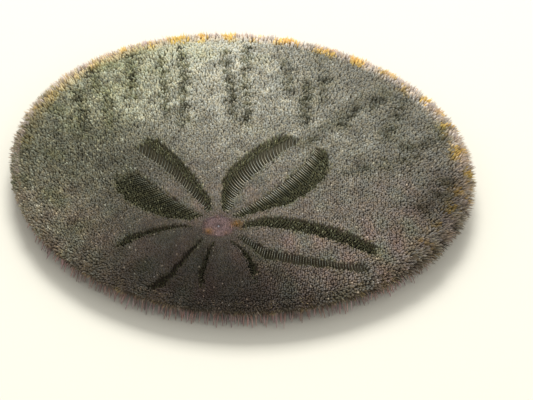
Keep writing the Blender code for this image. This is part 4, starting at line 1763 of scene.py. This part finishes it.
@dataclass
class Fringe(Coat):
    """The slender spines that stand out all round the rim."""

    seed: int = 23
    spacing: float = 0.28
    radius: float = 0.10
    length: float = 2.5
    shortest: float = 0.5
    scatter: float = 0.10
    # Direction in which the fringe is palest: partly the spines' own colour, partly painted light falling
    # from the front and left.
    palest_lit_turn: float = 118.0
    clumps: Ripple = Ripple(2.4, 40)
    cloud: Ripple = Ripple(2.4, 51)
    rose_patches: Ripple = Ripple(5.0, 53)
    rows: tuple[Triple, ...] = (
        (0.32, 0.80, 0.62), (0.27, 0.60, 0.74), (0.20, 0.42, 0.84), (0.11, 0.26, 0.94),
        (0.02, 0.10, 1.0), (-0.08, -0.06, 1.0), (-0.20, -0.26, 0.95),
    )
    form: SpineForm = SpineForm(4, (0.0, 0.45, 0.85), (1.0, 0.85, 0.5))
    turn_seeds: Sequence[int] = range(60, 64)

    def grow(self) -> Growth:
        """All the spines of the fringe, row by row.

        Returns:
            The spines; the whole part of their first UV number is the quarter of the rim.
        """
        draw = np.random.default_rng(self.seed)
        across = 2 * self.body.half_width + self.body.front_length + self.body.back_length
        around = math.pi * across / 2
        each = int(around / self.spacing)
        gathered: list[list[Array]] = [[] for _ in range(6)]
        values: dict[str, list[Array]] = {"tone": [], "rose": [], "amber": [], "tint": []}
        for row, (rise, tilt, size) in enumerate(self.rows):
            step = np.arange(each) + draw.uniform(-0.35, 0.35, each) + 0.5 * (row % 2)
            turn = math.tau * step / each
            plan = self.body.edge(turn, 0.985 - abs(rise) * 0.04)
            near = self.body.edge(turn + 0.01)
            tangent = unit(near - self.body.edge(turn))
            outward = spot(tangent[:, 1], -tangent[:, 0])
            aside = spot(*tangent.T)
            clump = self.clumps.at(*plan.T) * 0.34
            lift = tilt + draw.normal(0, self.scatter, each)
            astray = (clump + draw.normal(0, self.scatter, each))[:, None]
            direction = outward * np.cos(lift)[:, None] + aside * astray
            direction = direction + UP * np.sin(lift)[:, None]
            z = self.body.ambitus_z + rise * 3.0 + draw.uniform(-0.12, 0.12, each)
            roots = np.column_stack([plan, z])
            ahead = smooth(np.sin(turn), -0.8, -0.15)
            length = self.length * (self.shortest + (1 - self.shortest) * ahead)
            length = length * size * draw.uniform(0.78, 1.06, each)
            bends = UP * draw.uniform(-0.05, 0.16, each)[:, None]
            places = np.stack([4 * turn / math.tau % 4.0, np.full(each, 0.1 + 0.13 * row)], -1)
            radii = self.radius * draw.uniform(0.8, 1.15, each)
            for group, array in zip(gathered, (roots, unit(direction), length, radii, bends, places)):
                group.append(array)
            for key, array in self.pigments(plan, turn, draw).items():
                values[key].append(array)
        arrays = [np.concatenate(group) for group in gathered]
        return Growth(*arrays, {key: np.concatenate(group) for key, group in values.items()})

    def pigments(self, plan: Array, turn: Array, draw: Draw) -> dict[str, Array]:
        """Colour values of one row: palest in front and left, partly its own colour and partly painted light
        falling from that side; amber in tufts.

        Args:
            plan: Roots of the row.
            turn: Angle of each about the outline's middle.
            draw: Random numbers.

        Returns:
            Values of each spine by name.
        """
        x, y = plan.T
        count = len(x)
        # Paler towards that direction: partly own colour, partly painted light.
        pale = 0.5 + 0.5 * np.cos(turn - math.radians(self.palest_lit_turn))
        tone = 0.26 + 0.66 * smooth(pale, 0.15, 0.95) + 0.10 * self.cloud.at(x, y)
        tufts = self.markings.tufted(x, y) * (0.3 + 0.7 * smooth(np.sin(turn), -0.6, 0.1))
        amber = np.clip(tufts + 0.06 + draw.normal(0, 0.08, count), 0, 1)
        return {
            "tone": np.clip(tone + draw.normal(0, 0.08, count), 0, 1),
            "amber": amber,
            "rose": np.clip(0.5 + 0.4 * self.rose_patches.at(x, y), 0, 1),
            "tint": draw.uniform(0, 1, count),
        }

    def build(self) -> None:
        """Make the fringe in four lengths."""
        growth = self.grow()
        quarter = growth.unwrap[:, 0].astype(int)
        growth.unwrap[:, 0] %= 1.0
        names = [f"fringe_{name}" for name in ("front_right", "front_left", "rear_left", "rear_right")]
        self.divide(growth, quarter, names, self.palette.fringe, Slot.RIM)


@dataclass
class UnderCoat(Coat):
    """The spines of the underside, which leave the food grooves bare."""

    seed: int = 31
    spacing: float = 0.74
    jitter: float = 0.18
    radius: float = 0.115
    lean: float = 0.42
    sway: float = 0.16
    limit: float = 0.972
    clearance: float = 0.03
    cloud: Ripple = Ripple(7.0, 61)
    olive_patches: Ripple = Ripple(9.0, 62)
    form: SpineForm = SpineForm(4, (0.0, 0.5, 0.9), (1.0, 0.9, 0.6))
    turn_seeds: Sequence[int] = (70, 70)

    def build(self) -> None:
        """Make the coat of the underside in a front and a rear piece."""
        draw = np.random.default_rng(self.seed)
        reach = int(2.2 * self.body.half_width / self.spacing)
        u, v = staggered(np.arange(-reach, reach), self.jitter, draw)
        x = u * self.spacing
        y = v * self.spacing
        keep = (self.body.share(x, y) < self.limit) & (self.skin.grooves(x, y) < 0.25)
        for place, bare in ((self.body.mouth, 2.0), (self.body.vent, 1.0)):
            keep &= np.hypot(*offset(x, y, place)) > bare
        x, y = x[keep], y[keep]
        count = len(x)
        away = spot(*offset(x, y, self.body.mouth))
        outward = unit(away)
        lean = self.lean * smooth(np.linalg.norm(away, axis=1), 1.0, 12.0)
        direction = outward * lean[:, None] - UP
        direction = unit(direction + draw.uniform(-1, 1, (count, 3)) * self.sway)
        roots = spot(x, y, self.skin.under(x, y) + 0.1)
        drop = roots[:, 2] - self.clearance - self.radius * 0.6
        length = drop / -direction[:, 2] * draw.uniform(0.72, 1.0, count)
        ripple = self.cloud.at(x, y)
        values = {
            "tone": np.clip(0.45 + 0.12 * ripple + draw.normal(0, 0.08, count), 0, 1),
            "olive": np.clip(0.15 + 0.15 * self.olive_patches.at(x, y), 0, 1),
            "rose": np.clip(0.6 + 0.3 * ripple, 0, 1),
            "tint": draw.uniform(0, 1, count),
        }
        radii = self.radius * draw.uniform(0.8, 1.15, count)
        growth = Growth(roots, direction, length, radii, outward * 0.0, plan_uv(x, y), values)
        names = ["under_spines_front", "under_spines_rear"]
        self.divide(growth, y < 0, names, self.palette.under, Slot.UNDER)


@dataclass
class Disc(Dress):
    """The middle of the flower: plates, pores and a fuzz of fine spines."""

    seed: int = 44
    radius: float = 2.3
    rings: int = 22
    around: int = 80
    spacing: float = 0.27
    jitter: float = 0.25
    fuzz_reach: float = 4.4
    fuzz_length: float = 0.42
    fuzz_radius: float = 0.062
    plates: int = 5
    extent: float = 7.0
    pores: tuple[Triple, ...] = (
        (40, 2.9, 1.3), (250, 2.1, 0.9), (125, 2.1, 0.2), (195, 2.1, 0.15), (335, 2.1, 0.3),
    )

    def relief(self, radius: Array, turn: Array) -> Array:
        """Height of the plates above the skin: sutures between them and a hollow middle.

        Args:
            radius: Distance of the points from the middle.
            turn: Their angle about it.

        Returns:
            The height.
        """
        wedge = np.abs(((turn / math.tau * self.plates) % 1.0) - 0.5) * 2
        suture = smooth(wedge, 0.8, 1.0) * smooth(radius, 0.4, 1.0)
        ring = np.exp(-(((radius - 1.25) / 0.14) ** 2))
        crown = 0.24 * (1 - (radius / self.radius) ** 4)
        hollow = 0.22 * np.exp(-((radius / 0.42) ** 2))
        return 0.05 + crown - hollow - 0.09 * suture - 0.07 * ring

    def amber(self, x: Array, y: Array) -> Array:
        """Amber about the pores.

        Args:
            x, y: Where the points lie.

        Returns:
            The share of amber.
        """
        total = np.zeros(x.shape)
        for degrees, distance, amount in self.pores:
            centre = np.array(self.body.apex) + heading(degrees) * distance
            gap = np.hypot(*offset(x, y, centre))
            total = np.maximum(total, amount * np.exp(-((gap / (0.4 + 0.4 * amount)) ** 2)))
        return total

    def build(self) -> None:
        """Make the plates, their fuzz of spines and the pores' papillae."""
        draw = np.random.default_rng(self.seed)
        turns = math.tau * np.arange(self.around) / self.around
        radii = self.radius * np.linspace(0, 1, self.rings + 1)[1:]
        grid_r, grid_t = np.meshgrid(radii, turns, indexing="ij")
        x, y = self.off_apex(grid_r * np.cos(grid_t), grid_r * np.sin(grid_t))
        z = self.skin.top(x, y) + self.relief(grid_r, grid_t)
        sink = spot(x[-1], y[-1], self.skin.top(x[-1], y[-1]) - 0.3)
        height = float(self.body.top(*np.array([self.body.apex]).T)[0])
        ends = [[*self.body.apex, height - 0.1], [*self.body.apex, height - 0.3]]
        points = np.concatenate([spot(x, y, z).reshape(-1, 3), sink, ends])
        uv = 0.5 + (points[:, :2] - np.array(self.body.apex)) / self.extent
        distance = np.hypot(*offset(*points.T[:2], self.body.apex))
        values = {
            "tone": np.clip(0.42 - 0.42 * np.exp(-((distance / 0.65) ** 2)), 0, 1),
            "amber": self.amber(*points.T[:2]),
            "rose": 1.0,
            "tint": 0.4,
            "along": 0.62,
        }
        plates = closed_shell("disc_plates", points, self.around, uv, values)
        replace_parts(plates.build(self.palette.disc, Slot.DISC), "apical_disc")
        fine = SpineForm(5, (0.0, 0.5, 0.86), (0.6, 0.7, 1.0))
        self.fuzz(draw).build("disc_spines", fine, 80, self.palette.disc, Slot.DISC)
        tube = SpineForm(9, (0.0, 0.35, 0.7, 0.9), (1.2, 1.0, 0.8, 0.45))
        self.papillae().build("disc_papillae", tube, 81, self.palette.disc, Slot.DISC, 0.05)

    def fuzz(self, draw: Draw) -> Growth:
        """Fine spines over the plates and about the pores.

        Args:
            draw: Random numbers.

        Returns:
            The spines.
        """
        reach = int(self.fuzz_reach / self.spacing)
        u, v = staggered(np.arange(-reach, reach + 1), self.jitter, draw)
        u = u * self.spacing
        v = v * self.spacing
        distance = np.hypot(u, v)
        amber = self.amber(*self.off_apex(u, v))
        keep = ((distance < self.radius + 0.25) | (amber > 0.3)) & (distance > 0.5)
        u, v, distance = u[keep], v[keep], distance[keep]
        x, y = self.off_apex(u, v)
        count = len(x)
        turn = np.arctan2(v, u)
        z = self.skin.top(x, y) + self.relief(np.minimum(distance, self.radius), turn) - 0.06
        outward = unit(spot(u, v))
        astray = draw.uniform(-1, 1, (count, 3)) * 0.22
        direction = self.body.top_normal(x, y) + outward * 0.3 + astray
        tone = 0.10 + 0.26 * smooth(distance, 0.4, 1.2)
        values = {
            "tone": np.clip(tone + draw.normal(0, 0.10, count), 0, 1),
            "amber": self.amber(x, y),
            "rose": np.clip(draw.normal(0.9, 0.15, count), 0, 1),
            "tint": draw.uniform(0, 1, count),
        }
        length = self.fuzz_length * draw.uniform(0.75, 1.2, count) * (0.6 + 0.4 * smooth(distance, 0.4, 1.6))
        radii = self.fuzz_radius * draw.uniform(0.8, 1.2, count)
        places = 0.5 + np.stack([u, v], -1) / self.extent
        return Growth(spot(x, y, z), unit(direction), length, radii, outward * 0.1, places, values)

    def papillae(self) -> Growth:
        """Short tubes over the pores, and a pale bluish point in the middle: a painted highlight on the dark
        madreporite.

        Returns:
            The tubes.
        """
        centres = [heading(degrees) * distance for degrees, distance, _ in self.pores]
        # The last tube is a painted highlight: a pale bluish glint on the madreporite.
        centres.append(np.array([0.05, -0.08]))
        plan = np.array(centres)
        count = len(plan)
        x, y = self.off_apex(*plan.T)
        last = np.arange(count) == count - 1
        values = {
            # Full tone and a bluish tint for the last tube, the painted highlight.
            "tone": np.where(last, 1.0, 0.5),
            "amber": np.append([amount for _, _, amount in self.pores], 0.0),
            "rose": np.where(last, 0.0, 1.0),
            "tint": np.where(last, 1.0, 0.5),
        }
        up = np.tile(UP, (count, 1))
        length = np.where(last, 0.34, 0.5)
        radii = np.where(last, 0.13, 0.19)
        places = np.stack([np.linspace(0.1, 0.9, count), np.full(count, 0.9)], -1)
        return Growth(spot(x, y, self.skin.top(x, y)), up, length, radii, up * 0.0, places, values)


@dataclass
class Openings(Dress):
    """The mouth with its teeth, and the vent, both on the underside."""

    around: int = 80
    mouth_profile: Route = (
        (2.02, 0.25), (2.0, -0.02), (1.85, -0.1), (1.68, -0.06), (1.55, 0.12), (1.42, 0.42),
        (1.2, 0.68), (0.95, 0.72), (0.7, 0.66), (0.45, 0.74), (0.2, 0.95),
    )
    vent_profile: Route = (
        (0.86, 0.2), (0.84, -0.05), (0.72, -0.12), (0.56, -0.08), (0.42, 0.06), (0.22, 0.1),
        (0.08, 0.3),
    )

    def bowl(self, name: str, centre: Place, profile: Route, folds: int) -> Shell:
        """Closed ring-shaped bowl about a point of the underside.

        Args:
            name: Name of the piece.
            centre: Its middle.
            profile: Radius and height above the underside, from the outer edge inward.
            folds: Number of radial folds.

        Returns:
            The piece, ready to build.
        """
        base = float(self.body.under(*np.array([centre]).T)[0])
        turns = math.tau * np.arange(self.around) / self.around
        rings = []
        levels = []
        for radius, rise in profile:
            inner = 1 - radius / profile[0][0]
            wave = 0.05 * np.cos(turns * folds) * smooth(np.array(inner), 0.05, 0.3)
            x = centre[0] + radius * np.cos(turns)
            y = centre[1] + radius * np.sin(turns)
            rings.append(spot(x, y, base + rise + wave))
            levels.append(np.full(self.around, inner))
        lid = base + profile[0][1] + 1.0
        top = spot(*rings[0].T[:2], lid)
        ends = [[*centre, lid], [*centre, base + profile[-1][1]]]
        points = np.concatenate([top, *rings, ends])
        uv = 0.5 + (points[:, :2] - np.array(centre)) / (2.4 * profile[0][0])
        inner = np.concatenate([levels[0], *levels, [0.0, 1.0]])
        values = {
            "tone": 0.7 - 0.5 * smooth(inner, 0.1, 0.8),
            "rose": 0.6,
            "tint": 0.5,
            "along": 1 - 0.6 * inner,
        }
        return closed_shell(name, points, self.around, uv, values)

    def teeth(self) -> Growth:
        """Tips of the five teeth, leaning together in the middle of the mouth.

        Returns:
            The teeth.
        """
        turns = np.radians(90 + 72 * np.arange(5))
        base = float(self.body.under(*np.array([self.body.mouth]).T)[0])
        outward = spot(np.cos(turns), np.sin(turns))
        roots = np.array([*self.body.mouth, base + 0.85]) + outward * 0.8
        directions = unit(-UP - outward * 0.55)
        ones = np.ones(5)
        values = {"tone": ones * 0.7, "tint": ones * 0.6}
        places = np.stack([0.1 + 0.2 * np.arange(5), ones * 0.5], -1)
        return Growth(roots, directions, ones * 1.0, ones * 0.3, outward * 0.0, places, values)

    def build(self) -> None:
        """Make the mouth, the teeth and the vent."""
        mouth = self.bowl("mouth_lip", self.body.mouth, self.mouth_profile, 20)
        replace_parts(mouth.build(self.palette.membrane, Slot.MOUTH), "mouth")
        tooth = SpineForm(8, (0.0, 0.5, 0.85), (1.0, 0.85, 0.45))
        self.teeth().build("teeth", tooth, 90, self.palette.teeth, Slot.MOUTH, 0.12)
        vent = self.bowl("vent", self.body.vent, self.vent_profile, 9)
        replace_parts(vent.build(self.palette.membrane, Slot.ANUS), "anus")


@dataclass
class Studio:
    """Plain pale floor, soft light and a camera at the photograph's angle."""

    azimuth: float = 28.0
    elevation: float = 38.5
    roll: float = 1.69
    distance: float = 298.0
    target: Triple = (8.73, -5.93, 4.0)
    focal_pixels: float = 1822.5
    width_pixels: int = 533
    sensor: float = 36.0
    floor_size: float = 3.0
    floor_colour: Colour = (0.78, 0.765, 0.68)
    sky: Colour = (0.62, 0.61, 0.585)

    def camera(self) -> None:
        """Place the camera."""
        turn = math.radians(self.azimuth)
        rise = math.radians(self.elevation)
        level = Vector((math.sin(turn), -math.cos(turn), 0.0)) * math.cos(rise)
        back = level + Vector((0.0, 0.0, math.sin(rise)))
        right = Vector((math.cos(turn), math.sin(turn), 0.0))
        up = back.cross(right)
        roll = math.radians(self.roll)
        across = right * math.cos(roll) + up * math.sin(roll)
        above = up * math.cos(roll) - right * math.sin(roll)
        data = bpy.data.cameras.new("camera")
        data.sensor_width = self.sensor
        data.lens = self.sensor * self.focal_pixels / self.width_pixels
        data.clip_start = 0.001
        camera = new_object("camera", data)
        place = (Vector(self.target) + back * self.distance) * MM
        rows = [(across[i], above[i], back[i], place[i]) for i in range(3)]
        camera.matrix_world = Matrix((*rows, (0.0, 0.0, 0.0, 1.0)))
        bpy.context.scene.camera = camera

    def lamp(self, name: str, place: Triple, size: float, power: float) -> None:
        """Soft square lamp that faces the animal.

        Args:
            name: Name of the lamp.
            place: Where it stands, in metres.
            size: Its side, in metres.
            power: Its power in watts.
        """
        data = bpy.data.lights.new(name, "AREA")
        data.size = size
        data.energy = power
        data.color = (1.0, 0.985, 0.95)
        lamp = new_object(name, data)
        lamp.location = place
        lamp.rotation_euler = (-Vector(place)).to_track_quat("-Z", "Y").to_euler()

    def build(self) -> None:
        """Make the floor, the light and the camera."""
        mesh = bpy.data.meshes.new("floor")
        half = self.floor_size / 2
        corners = [(-half, -half, 0.0), (half, -half, 0.0), (half, half, 0.0), (-half, half, 0.0)]
        mesh.from_pydata(corners, [], [(0, 1, 2, 3)])
        material = bpy.data.materials.new("floor")
        material.use_nodes = True
        shader = material.node_tree.nodes["Principled BSDF"]
        shader.inputs["Base Color"].default_value = (*self.floor_colour, 1.0)
        shader.inputs["Roughness"].default_value = 0.8
        mesh.materials.append(material)
        floor = new_object("floor", mesh)
        floor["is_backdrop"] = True
        world = bpy.data.worlds.new("studio")
        world.use_nodes = True
        world.node_tree.nodes["Background"].inputs["Color"].default_value = (*self.sky, 1.0)
        bpy.context.scene.world = world
        bpy.context.scene.view_settings.view_transform = "Standard"
        self.lamp("key", (-0.25, 0.42, 0.62), 0.35, 5.5)
        self.lamp("fill", (0.5, -0.35, 0.6), 0.8, 1.5)
        self.camera()


def main() -> None:
    """Build the animal piece by piece, then the studio round it."""
    logging.basicConfig(level=logging.INFO, format="%(name)s: %(message)s")
    body = Body()
    flower = Flower(body)
    shared = (body, flower, Markings(body, flower), Palette())
    skin = Skin(*shared)
    skin.build()
    for kind in (UpperCoat, TubeFeet, Felt, Fringe, UnderCoat, Disc, Openings):
        kind(*shared, skin).build()
    Studio().build()
    boxes = {"cad": CAD_BOX, "visual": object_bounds()}
    plain = {key: [list(corner) for corner in box] for key, box in boxes.items()}
    LOG.info("sizes: %s", plain)


if __name__ == "__main__":
    main()
